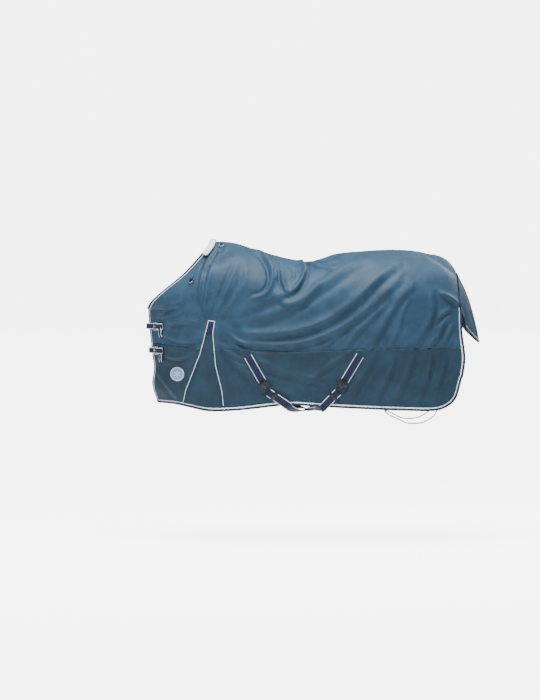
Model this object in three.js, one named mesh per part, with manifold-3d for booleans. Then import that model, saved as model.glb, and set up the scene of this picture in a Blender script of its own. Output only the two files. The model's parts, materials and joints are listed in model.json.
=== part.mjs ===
import * as THREE from 'three';
import Module from 'manifold-3d';
import { mergeVertices } from 'three/addons/utils/BufferGeometryUtils.js';

const wasm = await Module();
wasm.setup();

// A turnout rug as it lies on a horse, millimetres. X runs from the withers to the tail, Z is up,
// and the near side of the rug is at minus Y. The origin is under the rug on top of the withers.

// Overall sizes
const backLength = 1330;         // withers to the rear edge
const dropDepth = 895;           // withers down to the hem
const chestReach = 383;          // withers forward to the chest edge
const neckDrop = 352;            // withers down to the top of the chest edge
const frontHemLift = 38;         // front end of the hem above its lowest point
const shoulderHalfWidth = 262;
const barrelHalfWidth = 310;
const hipHalfWidth = 302;
const rearHalfWidth = 250;
const neckHalfWidth = 120;
const withersRise = 330;         // height of the arch over the withers
const backRise = 265;
const rumpRise = 300;
const hemFlare = 10;             // how much wider the rug stands at the hem than at the barrel

// Cloth, trims and gaps between pieces
const liningThickness = 1.5;
const shellThickness = 2;
const sewnGap = 0.3;             // between two pieces sewn edge to edge
const layerGap = 1.5;            // between two layers of cloth that lie face to face
const seamWidth = 0.6;
const spineSeamHalf = 0.3;
const pipingDiameter = 5;
const bindingWidth = 13;
const bindingThickness = 5;
const chestGap = 6;              // between the two chest edges
const patchThickness = 1.5;

// Fleece pad over the withers
const fleeceWidth = 38;
const fleeceThickness = 16;
const fleeceShare = 0.085;       // how far it comes down the neckline

// Tail flap
const flapHalfWidth = 165;       // at its lower edge
const flapLength = 377;
const flapSideLength = 126;
const flapReach = 124;           // how far its lower edge stands behind the rug
const flapSideReach = 32;
const flapGap = 4;

// Webbing straps
const surcingleWidth = 45;
const breastStrapWidth = 33;
const strapThickness = 2.5;
const strapStandOff = 9.1;       // the belly straps pass outside the hem binding
const bellySag = 60;             // how far the belly straps hang below the hem
const strapCrossGap = 12;        // between the belly straps where they cross

// Metal fittings
const wire = 4;                  // thickness of rings and frames
const ringWidth = 35;
const ringHeight = 28;
const withersRingWidth = 25;
const withersRingHeight = 20;
const loopClearance = 0.5;       // between a bar and the webbing loop round it
const loopWall = 2;
const tabLength = 26;
const plateThickness = 3;
const plateLength = 26;
const plateRim = 4;
const adjusterLength = 20;
const buckleLength = 36;
const tongueWidth = 4;
const slotClearance = 1.5;
const slideWall = 2;

// Badge and leg cords
const badgeDiameter = 78;
const badgeThickness = 2;
const legCordDiameter = 6.5;
const snapHalf = 8;

// Colours
const clothBlue = 0x4b6f8b;
const skirtBlue = 0x41627b;
const navy = 0x353c5c;
const bindingNavy = 0x3a4262;
const white = 0xdfe8f0;
const liningNavy = 0x2f3a55;
const fleeceWhite = 0xf5f5f2;
const steel = 0xb8bcc2;
const badgeBlue = 0x8fa6c9;
const cordGrey = 0x3c3a3d;

const liningOut = liningThickness;
const shellIn = liningOut + layerGap;
const shellOut = shellIn + shellThickness;
const onShell = shellOut + layerGap;
const trimMiddle = (liningOut + shellOut) / 2;
const edgeTrim = pipingDiameter + bindingWidth + 2 * sewnGap;
const chestEdgeHalf = edgeTrim + chestGap / 2;
const barRadius = wire / Math.SQRT2 + loopClearance;
const loopRadius = barRadius + loopWall;

const group = new THREE.Group();

function addMesh(name, geometry, color, { metal = false, matrix = null, parent = group } = {}) {
  const material = new THREE.MeshStandardMaterial({
    color,
    roughness: metal ? 0.25 : 0.9,
    metalness: metal ? 1 : 0,
  });
  const mesh = new THREE.Mesh(geometry, material);
  mesh.name = name;
  if (matrix) matrix.decompose(mesh.position, mesh.quaternion, mesh.scale);
  parent.add(mesh);
  return mesh;
}

const clamp = THREE.MathUtils.clamp;
const lerp = THREE.MathUtils.lerp;
const smooth = (t) => t * t * (3 - 2 * t);

// A smooth line through points of rising x, level beyond its ends.
function lineThrough(points) {
  const last = points.length - 1;
  const slope = (i) => {
    const before = points[Math.max(i - 1, 0)];
    const after = points[Math.min(i + 1, last)];
    return (after[1] - before[1]) / (after[0] - before[0]);
  };
  return (x) => {
    let i = 0;
    while (i < last - 1 && x > points[i + 1][0]) i += 1;
    const [x0, y0] = points[i];
    const [x1, y1] = points[i + 1];
    const h = x1 - x0;
    const t = clamp((x - x0) / h, 0, 1);
    const rise = smooth(t);
    const leave = t * (1 - t) * (1 - t) * h * slope(i);
    const arrive = t * t * (1 - t) * h * slope(i + 1);
    return y0 + (y1 - y0) * rise + leave - arrive;
  };
}

// Outlines, as shares of the back length along X and of the drop down Z.
const topShare = lineThrough([
  [-0.04, 0.024], [0.044, 0.013], [0.154, -0.027], [0.285, -0.08], [0.385, -0.1], [0.49, -0.054],
  [0.6, -0.037], [0.72, -0.027], [0.8, -0.031], [0.883, -0.053], [0.953, -0.093], [1, -0.178],
]);
const hemShare = lineThrough([
  [-0.26, -0.958], [-0.1, -0.99], [-0.02, -1], [0.09, -0.992], [0.286, -0.961], [0.395, -0.967],
  [0.55, -0.98], [0.8, -0.995], [0.9, -0.995], [0.945, -0.972], [0.978, -0.92], [1, -0.8],
]);
const seamShare = lineThrough([[-0.25, -0.607], [0, -0.637], [0.34, -0.65], [0.66, -0.636], [1, -0.628]]);
const rearShare = lineThrough([[0, 0.993], [0.4, 1], [0.75, 1.012], [1, 1.003]]);
const halfWidth = lineThrough([
  [-0.2, shoulderHalfWidth], [0.4, barrelHalfWidth], [0.8, hipHalfWidth], [1, rearHalfWidth],
]);
const archRise = lineThrough([[0, withersRise], [0.4, backRise], [1, rumpRise]]);
const chestShare = lineThrough([[0, -1], [0.244, -0.977], [0.527, -0.935], [0.628, -0.917], [0.85, -0.935], [1, -0.88]]);
const neckline = new THREE.SplineCurve([
  new THREE.Vector2(-0.1, 0.06),
  new THREE.Vector2(-0.175, -0.1),
  new THREE.Vector2(-0.475, -0.46),
  new THREE.Vector2(-0.77, -0.724),
  new THREE.Vector2(-0.935, -0.892),
  new THREE.Vector2(-1, -1),
]);

const along = (share) => share * backLength;
const down = (share) => -share * dropDepth;
const forward = (share) => -share * chestReach;

// Each half is laid out by u from the front edge to the rear and v from the spine to the hem.
const neckShare = 0.4;           // v where the neckline turns into the chest edge
const archShare = 0.34;          // v where the arch turns into the side
const wrapShare = 0.18;          // u taken by the wrap round the chest
const wrapFullness = 0.92;       // under 1 makes the chest blunter
const flapInset = 0.02;          // v between the flap and the end of the edge binding
const flapShare = 0.255;         // v where the edge binding ends and the tail flap begins

function frontEdge(v) {
  if (v < neckShare) {
    const t = v / neckShare;
    const point = neckline.getPoint(t);
    const y = lerp(spineSeamHalf, chestEdgeHalf, t) + neckHalfWidth * Math.sin(Math.PI * t) ** 0.8;
    return new THREE.Vector3(point.x * chestReach, y, point.y * neckDrop);
  }
  const t = (v - neckShare) / (1 - neckShare);
  return new THREE.Vector3(chestShare(t) * chestReach, chestEdgeHalf, -lerp(neckDrop, dropDepth - frontHemLift, t));
}

function sectionPoint(x, v) {
  const share = x / backLength;
  const top = topShare(share) * dropDepth;
  const rise = archRise(share);
  if (v < archShare) {
    const angle = (v / archShare) * (Math.PI / 2);
    const y = Math.max(halfWidth(share) * Math.sin(angle), spineSeamHalf);
    return [y, top - rise * (1 - Math.cos(angle))];
  }
  const t = (v - archShare) / (1 - archShare);
  return [halfWidth(share) + hemFlare * t, lerp(top - rise, hemShare(share) * dropDepth, t)];
}

function middle(u, v) {
  const front = frontEdge(v);
  const x = lerp(front.x, along(rearShare(v)), u);
  const [sideY, sideZ] = sectionPoint(x, v);
  const s = clamp(u / wrapShare, 0, 1);
  const y = lerp(front.y, sideY, Math.sin((Math.PI / 2) * s) ** wrapFullness);
  return new THREE.Vector3(x, y, lerp(front.z, sideZ, smooth(s)));
}

function outward(u, v) {
  const d = 0.004;
  const alongU = middle(Math.min(u + d, 1), v).sub(middle(Math.max(u - d, 0), v));
  const alongV = middle(u, Math.min(v + d, 1)).sub(middle(u, Math.max(v - d, 0)));
  return alongU.cross(alongV).normalize();
}

// A point on the off side, or its mirror on the near side, lifted off the inside face of the rug.
function cloth(side, u, v, lift = 0) {
  const point = middle(u, v).addScaledVector(outward(u, v), lift);
  point.y = Math.max(point.y, spineSeamHalf) * side;
  return point;
}

// The u and v of the place that shows at x and z from the side.
function placeAt(x, z) {
  const uFor = (v) => {
    const front = frontEdge(v).x;
    return clamp((x - front) / (along(rearShare(v)) - front), 0, 1);
  };
  let low = 0;
  let high = 1;
  for (let i = 0; i < 30; i += 1) {
    const v = (low + high) / 2;
    if (middle(uFor(v), v).z > z) low = v;
    else high = v;
  }
  return [uFor(low), low];
}

function onCloth(side, x, z, lift = 0) {
  const [u, v] = placeAt(x, z);
  return cloth(side, u, v, lift);
}

function normalAt(side, x, z) {
  const [u, v] = placeAt(x, z);
  const normal = outward(u, v);
  normal.y *= side;
  return normal;
}

// A frame on the cloth: Z out of it, minus Y the way the piece points, seen from the side.
function frameOn(side, x, z, lift, pointX, pointZ, inside = false) {
  const normal = normalAt(side, x, z);
  if (inside) normal.negate();
  const origin = onCloth(side, x, z).addScaledVector(normal, lift);
  const step = 10;
  const ahead = onCloth(side, x + pointX * step, z + pointZ * step).sub(onCloth(side, x, z));
  ahead.addScaledVector(normal, -ahead.dot(normal)).normalize();
  const up = ahead.negate();
  const right = new THREE.Vector3().crossVectors(up, normal);
  return new THREE.Matrix4().makeBasis(right, up, normal).setPosition(origin);
}

// Closed solids from rings of points, each ring joined to the next, with flat ends.
function loft(rings) {
  const count = rings[0].length;
  const positions = rings.flatMap((ring) => ring.flatMap((p) => [p.x, p.y, p.z]));
  const index = [];
  for (let i = 0; i < rings.length - 1; i += 1) {
    for (let j = 0; j < count; j += 1) {
      const a = i * count + j;
      const b = i * count + ((j + 1) % count);
      index.push(a, b, a + count, b, b + count, a + count);
    }
  }
  const end = (rings.length - 1) * count;
  for (let j = 1; j < count - 1; j += 1) {
    index.push(0, j + 1, j);
    index.push(end, end + j, end + j + 1);
  }
  const geometry = new THREE.BufferGeometry();
  geometry.setAttribute('position', new THREE.Float32BufferAttribute(positions, 3));
  geometry.setIndex(index);
  return facingOut(geometry);
}

// A closed sheet between two grids of points.
function sheet(outer, inner) {
  const rows = outer.length;
  const columns = outer[0].length;
  const positions = [outer, inner].flatMap((grid) => grid.flatMap((row) => row.flatMap((p) => [p.x, p.y, p.z])));
  const shift = rows * columns;
  const at = (i, j) => i * columns + j;
  const index = [];
  const quad = (a, b, c, d) => index.push(a, b, c, a, c, d);
  for (let i = 0; i < rows - 1; i += 1) {
    for (let j = 0; j < columns - 1; j += 1) {
      quad(at(i, j), at(i, j + 1), at(i + 1, j + 1), at(i + 1, j));
      quad(shift + at(i, j), shift + at(i + 1, j), shift + at(i + 1, j + 1), shift + at(i, j + 1));
    }
  }
  for (let i = 0; i < rows - 1; i += 1) {
    quad(at(i, 0), at(i + 1, 0), shift + at(i + 1, 0), shift + at(i, 0));
    quad(at(i + 1, columns - 1), at(i, columns - 1), shift + at(i, columns - 1), shift + at(i + 1, columns - 1));
  }
  for (let j = 0; j < columns - 1; j += 1) {
    quad(at(0, j + 1), at(0, j), shift + at(0, j), shift + at(0, j + 1));
    quad(at(rows - 1, j), at(rows - 1, j + 1), shift + at(rows - 1, j + 1), shift + at(rows - 1, j));
  }
  const geometry = new THREE.BufferGeometry();
  geometry.setAttribute('position', new THREE.Float32BufferAttribute(positions, 3));
  geometry.setIndex(index);
  return facingOut(geometry);
}

function facingOut(geometry) {
  const p = geometry.getAttribute('position');
  const index = geometry.getIndex().array;
  const [a, b, c] = [new THREE.Vector3(), new THREE.Vector3(), new THREE.Vector3()];
  let volume = 0;
  for (let i = 0; i < index.length; i += 3) {
    a.fromBufferAttribute(p, index[i]);
    b.fromBufferAttribute(p, index[i + 1]);
    c.fromBufferAttribute(p, index[i + 2]);
    volume += a.dot(b.cross(c));
  }
  if (volume < 0) index.reverse();
  return geometry;
}

function toSolid(geometry) {
  const bare = geometry.clone();
  bare.deleteAttribute('normal');
  bare.deleteAttribute('uv');
  const merged = mergeVertices(bare, 1e-4);
  const mesh = new wasm.Mesh({
    numProp: 3,
    vertProperties: new Float32Array(merged.getAttribute('position').array),
    triVerts: new Uint32Array(merged.getIndex().array),
  });
  return new wasm.Manifold(mesh);
}

function toGeometry(solid) {
  const mesh = solid.getMesh();
  const geometry = new THREE.BufferGeometry();
  geometry.setAttribute('position', new THREE.BufferAttribute(new Float32Array(mesh.vertProperties), 3));
  geometry.setIndex(new THREE.BufferAttribute(new Uint32Array(mesh.triVerts), 1));
  return geometry;
}

function mirrored(geometry) {
  const copy = geometry.clone();
  copy.scale(1, -1, 1);
  copy.getIndex().array.reverse();
  return copy;
}

// The stops of the cloth grid, closer together where the rug turns.
function stops(...spans) {
  const list = [spans[0][0]];
  for (const [from, to, cells] of spans) {
    for (let i = 1; i <= cells; i += 1) list.push(lerp(from, to, i / cells));
  }
  return list;
}
const uStops = stops([0, wrapShare, 5], [wrapShare, 0.93, 10], [0.93, 1, 4]);
const vStops = stops([0, fleeceShare, 1], [fleeceShare, flapShare, 4], [flapShare, neckShare, 2], [neckShare, 1, 5]);
const grid = (lift) => vStops.map((v) => uStops.map((u) => cloth(1, u, v, lift)));

// Shell panels: the half sheet is cut along its seams.
const gussetFront = [[0.1354, 0.461], [0.2535, 0.664], [0.3507, 0.772], [0.4619, 0.894], [0.5383, 1.06]];
const gussetRear = [[0.0486, 0.466], [0.0764, 0.542], [0.0347, 0.739], [-0.0556, 0.898], [-0.0972, 1.06]];
const seamPoint = ([x, z]) => new THREE.Vector2(forward(x), down(z));
const gussetFrontLine = gussetFront.map(seamPoint);
const gussetRearLine = gussetRear.map(seamPoint);

// The x of a seam line at height z.
function lineX(line, z) {
  let i = 0;
  while (i < line.length - 2 && z < line[i + 1].y) i += 1;
  const t = (z - line[i].y) / (line[i + 1].y - line[i].y);
  return lerp(line[i].x, line[i + 1].x, t);
}

function blade(line) {
  const sideOf = (sign) => line.map((point, i) => {
    const before = line[Math.max(i - 1, 0)];
    const after = line[Math.min(i + 1, line.length - 1)];
    const run = after.clone().sub(before).normalize();
    return new THREE.Vector2(point.x - run.y * sign * seamWidth / 2, point.y + run.x * sign * seamWidth / 2);
  });
  const outline = new THREE.Shape([...sideOf(1), ...sideOf(-1).reverse()]);
  const depth = barrelHalfWidth * 2;
  const geometry = new THREE.ExtrudeGeometry(outline, { depth, bevelEnabled: false });
  geometry.rotateX(Math.PI / 2);
  geometry.translate(0, depth, 0);
  return toSolid(geometry);
}

const seamZ = (x) => seamShare(x / backLength) * dropDepth;
const seamFrontEnd = lineX(gussetFrontLine, seamZ(gussetFrontLine[1].x));
const seamRearStart = lineX(gussetRearLine, seamZ(gussetRearLine[1].x));
const seamRun = (from, to, cells) => stops([from, to, cells]).map((x) => new THREE.Vector2(x, seamZ(x)));

function pieceAt(pieces, x, z) {
  const distance = (solid) => {
    const box = solid.boundingBox();
    return Math.hypot((box.min[0] + box.max[0]) / 2 - x, (box.min[2] + box.max[2]) / 2 - z);
  };
  return pieces.reduce((best, piece) => (distance(piece) < distance(best) ? piece : best));
}

const cutShell = toSolid(sheet(grid(shellOut), grid(shellIn)))
  .subtract(blade([...gussetFrontLine].reverse().concat(gussetRearLine)))
  .subtract(blade(seamRun(-chestReach * 1.2, seamFrontEnd, 2)))
  .subtract(blade(seamRun(seamRearStart, backLength * 1.1, 8)));
const panels = cutShell.decompose();
const panelPlaces = {
  shell_upper: [along(0.36), down(0.3), clothBlue],
  shell_front_lower: [forward(0.66), down(0.8), skirtBlue],
  shell_gusset: [forward(0.2083), down(0.75), skirtBlue],
  shell_side_lower: [along(0.5), down(0.8), skirtBlue],
};
for (const [name, [x, z, color]] of Object.entries(panelPlaces)) {
  const geometry = toGeometry(pieceAt(panels, x, z));
  addMesh(`${name}_right`, geometry, color);
  addMesh(`${name}_left`, mirrored(geometry), color);
}

const liningGeometry = sheet(grid(liningOut), grid(0));
addMesh('lining_right', liningGeometry, liningNavy);
addMesh('lining_left', mirrored(liningGeometry), liningNavy);

// Trims along the outer edge. Each stop of the edge is a place on the cloth and a way out of it.
function edgePlaces() {
  const places = vStops.filter((v) => v >= fleeceShare).map((v) => ({ u: 0, v }));
  uStops.slice(1).forEach((u) => places.push({ u, v: 1 }));
  [...vStops].reverse().slice(1).filter((v) => v >= flapShare).forEach((v) => places.push({ u: 1, v }));
  return places;
}

// The frames of a run of points: each has the cloth's normal and the way out, mitred at its corner.
function edgeFrames(points, normals) {
  const runs = points.slice(1).map((point, i) => point.clone().sub(points[i]).normalize());
  return points.map((point, i) => {
    const before = runs[Math.max(i - 1, 0)];
    const after = runs[Math.min(i, runs.length - 1)];
    const run = before.clone().add(after).normalize();
    const normal = normals[i].clone().addScaledVector(run, -normals[i].dot(run)).normalize();
    const out = new THREE.Vector3().crossVectors(run, normal).divideScalar(run.dot(before));
    return { point, normal, out };
  });
}

const places = edgePlaces();
const rightEdge = edgeFrames(
  places.map(({ u, v }) => middle(u, v).addScaledVector(outward(u, v), trimMiddle)),
  places.map(({ u, v }) => outward(u, v)),
);
const outSign = Math.sign(rightEdge[places.length >> 1].out.z) * -1;

function boxRing({ point, normal, out }, fromOut, toOut, fromNormal, toNormal) {
  const corner = (a, b) => point.clone().addScaledVector(out, a * outSign).addScaledVector(normal, b);
  return [
    corner(fromOut, fromNormal), corner(toOut, fromNormal), corner(toOut, toNormal), corner(fromOut, toNormal),
  ];
}

function roundRing({ point, normal, out }, centreOut, centreNormal, diameter, sides) {
  return Array.from({ length: sides }, (_, k) => {
    const angle = (2 * Math.PI * (k + 0.5)) / sides;
    return point.clone()
      .addScaledVector(out, outSign * (centreOut + Math.cos(angle) * diameter / 2))
      .addScaledVector(normal, centreNormal + Math.sin(angle) * diameter / 2);
  });
}

const pipingMiddle = sewnGap + pipingDiameter / 2;
const bindingStart = pipingDiameter + 2 * sewnGap;
const pipingGeometry = loft(rightEdge.map((frame) => roundRing(frame, pipingMiddle, 0, pipingDiameter, 5)));
const bindingGeometry = loft(rightEdge.map((frame) => boxRing(
  frame, bindingStart, bindingStart + bindingWidth, -bindingThickness / 2, bindingThickness / 2,
)));
addMesh('piping_edge_right', pipingGeometry, white);
addMesh('piping_edge_left', mirrored(pipingGeometry), white);
addMesh('binding_edge_right', bindingGeometry, bindingNavy);
addMesh('binding_edge_left', mirrored(bindingGeometry), bindingNavy);

// Piping up both legs of the gusset, and the patch at its top.
const pipingLift = onShell + pipingDiameter / 2 + sewnGap;
const gussetEnd = (line) => {
  const z = hemShare(line.at(-1).x / backLength) * dropDepth + bindingWidth;
  return new THREE.Vector2(lineX(line, z), z);
};
const legPoints = (line) => [...line.slice(0, -1).filter((p) => p.y > gussetEnd(line).y), gussetEnd(line)];
const gussetRoute = [...legPoints(gussetFrontLine)].reverse().concat(legPoints(gussetRearLine));
const gussetFrames = edgeFrames(
  gussetRoute.map((p) => onCloth(1, p.x, p.y, pipingLift)),
  gussetRoute.map((p) => normalAt(1, p.x, p.y)),
);
const gussetPiping = loft(gussetFrames.map((frame) => roundRing(frame, 0, 0, pipingDiameter, 5)));
addMesh('piping_gusset_right', gussetPiping, white);
addMesh('piping_gusset_left', mirrored(gussetPiping), white);

const patchBottomZ = down(0.545);
const patchTopZ = down(0.474);
const patchInset = pipingDiameter / 2 + layerGap;
function patchGrid(lift) {
  return stops([0, 1, 2]).map((t) => {
    const z = lerp(patchTopZ, patchBottomZ, t);
    const left = lineX(gussetFrontLine, z) + patchInset * 1.4;
    const right = lineX(gussetRearLine, z) - patchInset * 1.2;
    return stops([left, right, 2]).map((x) => onCloth(1, x, z, lift));
  });
}
const patchGeometry = sheet(patchGrid(onShell + patchThickness), patchGrid(onShell));
addMesh('gusset_patch_right', patchGeometry, navy);
addMesh('gusset_patch_left', mirrored(patchGeometry), navy);

// Fleece pad across the withers, over the neck edges of both halves.
const fleeceHalf = stops([0.004, fleeceShare - 0.004, 3]).map((v) => ({ u: 0, v }));
const fleeceLift = onShell + layerGap / 2 - trimMiddle;
const fleeceRing = (place, side) => {
  const frame = edgeFrames(
    [place.v - 0.004, place.v, place.v + 0.004].map((v) => middle(0, v).addScaledVector(outward(0, v), trimMiddle)),
    [0, 1, 2].map(() => outward(0, place.v)),
  )[1];
  const ring = boxRing(frame, -fleeceWidth * 0.66, fleeceWidth * 0.34, fleeceLift, fleeceLift + fleeceThickness);
  ring.forEach((p) => { p.y *= side; });
  return ring;
};
const fleeceRings = [
  ...[...fleeceHalf].reverse().map((place) => fleeceRing(place, 1)),
  ...fleeceHalf.map((place) => fleeceRing(place, -1)),
];
addMesh('fleece_pad', loft(fleeceRings), fleeceWhite);

// Tail flap, hung from the arch of the rear edge.
function flapPoint(s, t, lift) {
  const reach = Math.abs(s);
  const top = middle(1, reach * (flapShare - flapInset));
  const spread = reach ** 2;
  const length = lerp(flapLength, flapSideLength, spread);
  const stand = lerp(flapReach, flapSideReach, spread);
  const y = lerp(top.y, reach * flapHalfWidth, t);
  const bulge = Math.sin(Math.PI * t) * stand * 0.1;
  const x = top.x + flapGap + shellOut + stand * t + bulge + lift;
  return new THREE.Vector3(x, Math.sign(s) * y, top.z - length * t);
}
const flapAcross = stops([-1, 1, 12]);
const flapDown = stops([0, 1, 5]);
const flapGrid = (lift) => flapDown.map((t) => flapAcross.map((s) => flapPoint(s, t, lift)));
const flapHinge = new THREE.Group();
flapHinge.position.copy(flapPoint(0, 0, 0));
group.add(flapHinge);
const fromHinge = (geometry) => geometry.translate(...flapHinge.position.clone().negate().toArray());
const flapThickness = shellThickness + liningThickness;
addMesh('tail_flap', fromHinge(sheet(flapGrid(flapThickness), flapGrid(0))), clothBlue, { parent: flapHinge });

const flapTrimStart = 0.3;
const flapEdge = [
  ...stops([flapTrimStart, 1, 3]).map((t) => [-1, t]),
  ...stops([-1, 1, 12]).slice(1).map((s) => [s, 1]),
  ...stops([1, flapTrimStart, 3]).slice(1).map((t) => [1, t]),
];
const flapFrames = edgeFrames(
  flapEdge.map(([s, t]) => flapPoint(s, t, flapThickness / 2)),
  flapEdge.map(() => new THREE.Vector3(outSign, 0, 0)),
);
const flapBinding = loft(flapFrames.map((frame) => boxRing(
  frame, sewnGap, sewnGap + bindingWidth, -bindingThickness / 2, bindingThickness / 2,
)));
addMesh('binding_tail_flap', fromHinge(flapBinding), bindingNavy, { parent: flapHinge });

// A strap laid through points, each with the way its face looks.
function ribbon(route, width, thickness = strapThickness) {
  const points = route.map(({ point }) => point);
  const runs = points.slice(1).map((point, i) => point.clone().sub(points[i]).normalize());
  return loft(route.map(({ point, face }, i) => {
    const before = runs[Math.max(i - 1, 0)];
    const after = runs[Math.min(i, runs.length - 1)];
    const run = before.clone().add(after).normalize();
    const across = new THREE.Vector3().crossVectors(face, run).normalize();
    const normal = new THREE.Vector3().crossVectors(run, across);
    const corner = (a, b) => point.clone().addScaledVector(across, a).addScaledVector(normal, b);
    const [w, h] = [width / 2, thickness / 2];
    return [corner(-w, -h), corner(w, -h), corner(w, h), corner(-w, h)];
  }));
}

const stop = (point, face) => ({ point, face });
const clothStop = (side, x, z, lift) => stop(onCloth(side, x, z, lift), normalAt(side, x, z));

// Plate with a slot for the webbing and a hole for the hook, drawn flat, hanging down minus Y.
function rectangle(width, height, x = 0, y = 0) {
  const [w, h] = [width / 2, height / 2];
  return [[x - w, y - h], [x + w, y - h], [x + w, y + h], [x - w, y + h]].map(([a, b]) => new THREE.Vector2(a, b));
}

function plate(outline, holes, depth, lift = 0) {
  const shape = new THREE.Shape(outline);
  shape.holes = holes.map((hole) => new THREE.Path([...hole].reverse()));
  const geometry = new THREE.ExtrudeGeometry(shape, { depth, bevelEnabled: false, curveSegments: 6 });
  return geometry.translate(0, 0, lift);
}

const joined = (...geometries) => toGeometry(geometries.map(toSolid).reduce((a, b) => a.add(b)));
const less = (geometry, ...cuts) => toGeometry(cuts.map(toSolid).reduce((a, b) => a.subtract(b), toSolid(geometry)));

// Surcingles. The upper straps are sewn on each side; the belly straps cross under the horse.
const surcingles = {
  front: { topX: 0.124, topZ: 0.68, hookX: 0.184, hookZ: 0.835, hemX: 0.256 },
  rear: { topX: 0.587, topZ: 0.675, hookX: 0.523, hookZ: 0.832, hemX: 0.457 },
};
const upperLift = onShell + layerGap / 2 + strapThickness / 2;
const plateGap = 2;
const plateWidth = surcingleWidth + 2 * plateRim;
const hookWidth = 20;
const webSlot = 5;
const studSize = 5;
const studSlot = 9;

function upperStrapEnds({ topX, topZ, hookX, hookZ }) {
  return [new THREE.Vector2(along(topX), down(topZ)), new THREE.Vector2(along(hookX), down(hookZ))];
}

function strapRun(place) {
  const [top, end] = upperStrapEnds(place);
  return end.clone().sub(top).normalize();
}

function addUpperStrap(name, side, place) {
  const [top, end] = upperStrapEnds(place);
  const route = stops([0, 1, 4]).map((t) => {
    const p = top.clone().lerp(end, t);
    return clothStop(side, p.x, p.y, upperLift);
  });
  addMesh(name, ribbon(route, surcingleWidth), navy);
}

// Each fitting hangs from the strap's end along its run.
const fittingLift = shellOut + strapStandOff;
const hookMiddle = plateLength / 2 + plateGap;
const eyeMiddle = hookMiddle + plateLength + plateGap;
const bellyStart = eyeMiddle + plateLength / 2 + surcingleWidth * 0.32;

function addHookAndEye(name, side, place) {
  const [, end] = upperStrapEnds(place);
  const run = strapRun(place);
  const frameAt = (distance) => {
    const p = end.clone().addScaledVector(run, distance);
    return frameOn(side, p.x, p.y, fittingLift, run.x, run.y);
  };
  const slotY = plateLength / 2 - plateRim - webSlot / 2;
  const webbingSlot = rectangle(surcingleWidth, webSlot, 0, slotY);
  const body = plate(rectangle(plateWidth, plateLength), [webbingSlot], plateThickness);
  const armLift = plateThickness + plateGap;
  const studY = slotY - (eyeMiddle - hookMiddle);
  const armTop = -plateLength / 2 + 2 * webSlot;
  const armLength = armTop - studY + studSize;
  const arm = plate(rectangle(hookWidth, armLength, 0, armTop - armLength / 2), [], plateThickness, armLift);
  const riser = plate(rectangle(hookWidth, webSlot, 0, armTop - webSlot / 2), [], armLift + plateThickness);
  const stud = plate(rectangle(hookWidth / 2, studSize, 0, studY), [], armLift + plateThickness);
  addMesh(`surcingle_hook_${name}`, joined(body, riser, arm, stud), steel, { metal: true, matrix: frameAt(hookMiddle) });
  const holes = [
    rectangle(hookWidth / 2 + studSlot, studSlot, 0, slotY),
    rectangle(surcingleWidth, webSlot, 0, -slotY),
  ];
  const eye = plate(rectangle(plateWidth, plateLength), holes, plateThickness);
  addMesh(`surcingle_eye_${name}`, eye, steel, { metal: true, matrix: frameAt(eyeMiddle) });
}

// The belly strap goes from the eye down over the hem, under the belly and up to the other side.
const bellyLift = shellOut + strapStandOff + strapThickness / 2;
const hemHere = (x) => hemShare(x / backLength) * dropDepth;
const crossX = along((surcingles.front.hemX + surcingles.rear.hemX) / 2);
const crossZ = hemHere(crossX) - bellySag;

// Past the hem the strap falls straight, drawn in towards the crossing under the belly.
const strapFall = edgeTrim + surcingleWidth * 0.9;
const strapDrawIn = 0.85;

function sideDrop(side, place, startDistance, cells) {
  const [, end] = upperStrapEnds(place);
  const run = strapRun(place);
  const start = end.clone().addScaledVector(run, startDistance);
  const low = new THREE.Vector2(along(place.hemX), hemHere(along(place.hemX)) + bindingWidth);
  const drop = stops([0, 1, cells]).map((t) => {
    const p = start.clone().lerp(low, t);
    return clothStop(side, p.x, p.y, bellyLift);
  });
  const last = drop.at(-1);
  const step = last.point.clone().sub(drop.at(-2).point);
  step.multiplyScalar(-strapFall / step.z).setX(Math.sign(step.x) * strapFall * strapDrawIn);
  return [...drop, stop(last.point.clone().add(step), last.face)];
}

function bellyRoute(nearSide, nearPlace, farPlace, rise) {
  const near = sideDrop(nearSide, nearPlace, bellyStart, 3);
  const far = sideDrop(-nearSide, farPlace, plateGap, 4).reverse();
  const a = near.at(-1).point;
  const b = far[0].point;
  const under = stops([0.08, 0.92, 10]).map((t) => {
    const fall = Math.sin(Math.PI * t) ** 0.7;
    const point = a.clone().lerp(b, t);
    point.z = lerp(point.z, crossZ + rise, fall) ;
    const tilt = (t - 0.5) * Math.PI * 0.9;
    const face = new THREE.Vector3(0, nearSide * -Math.sin(tilt), -Math.cos(tilt));
    return stop(point, face);
  });
  return [...near, ...under, ...far];
}

for (const [end, place] of Object.entries(surcingles)) {
  addUpperStrap(`surcingle_upper_${end}_left`, -1, place);
  addUpperStrap(`surcingle_upper_${end}_right`, 1, place);
  addHookAndEye(end, -1, place);
}
const { front: frontPlace, rear: rearPlace } = surcingles;
const frontRoute = bellyRoute(-1, frontPlace, rearPlace, 0);
const rearRoute = bellyRoute(-1, rearPlace, frontPlace, strapCrossGap + strapThickness);
addMesh('surcingle_belly_front', ribbon(frontRoute, surcingleWidth), navy);
addMesh('surcingle_belly_rear', ribbon(rearRoute, surcingleWidth), navy);

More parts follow.
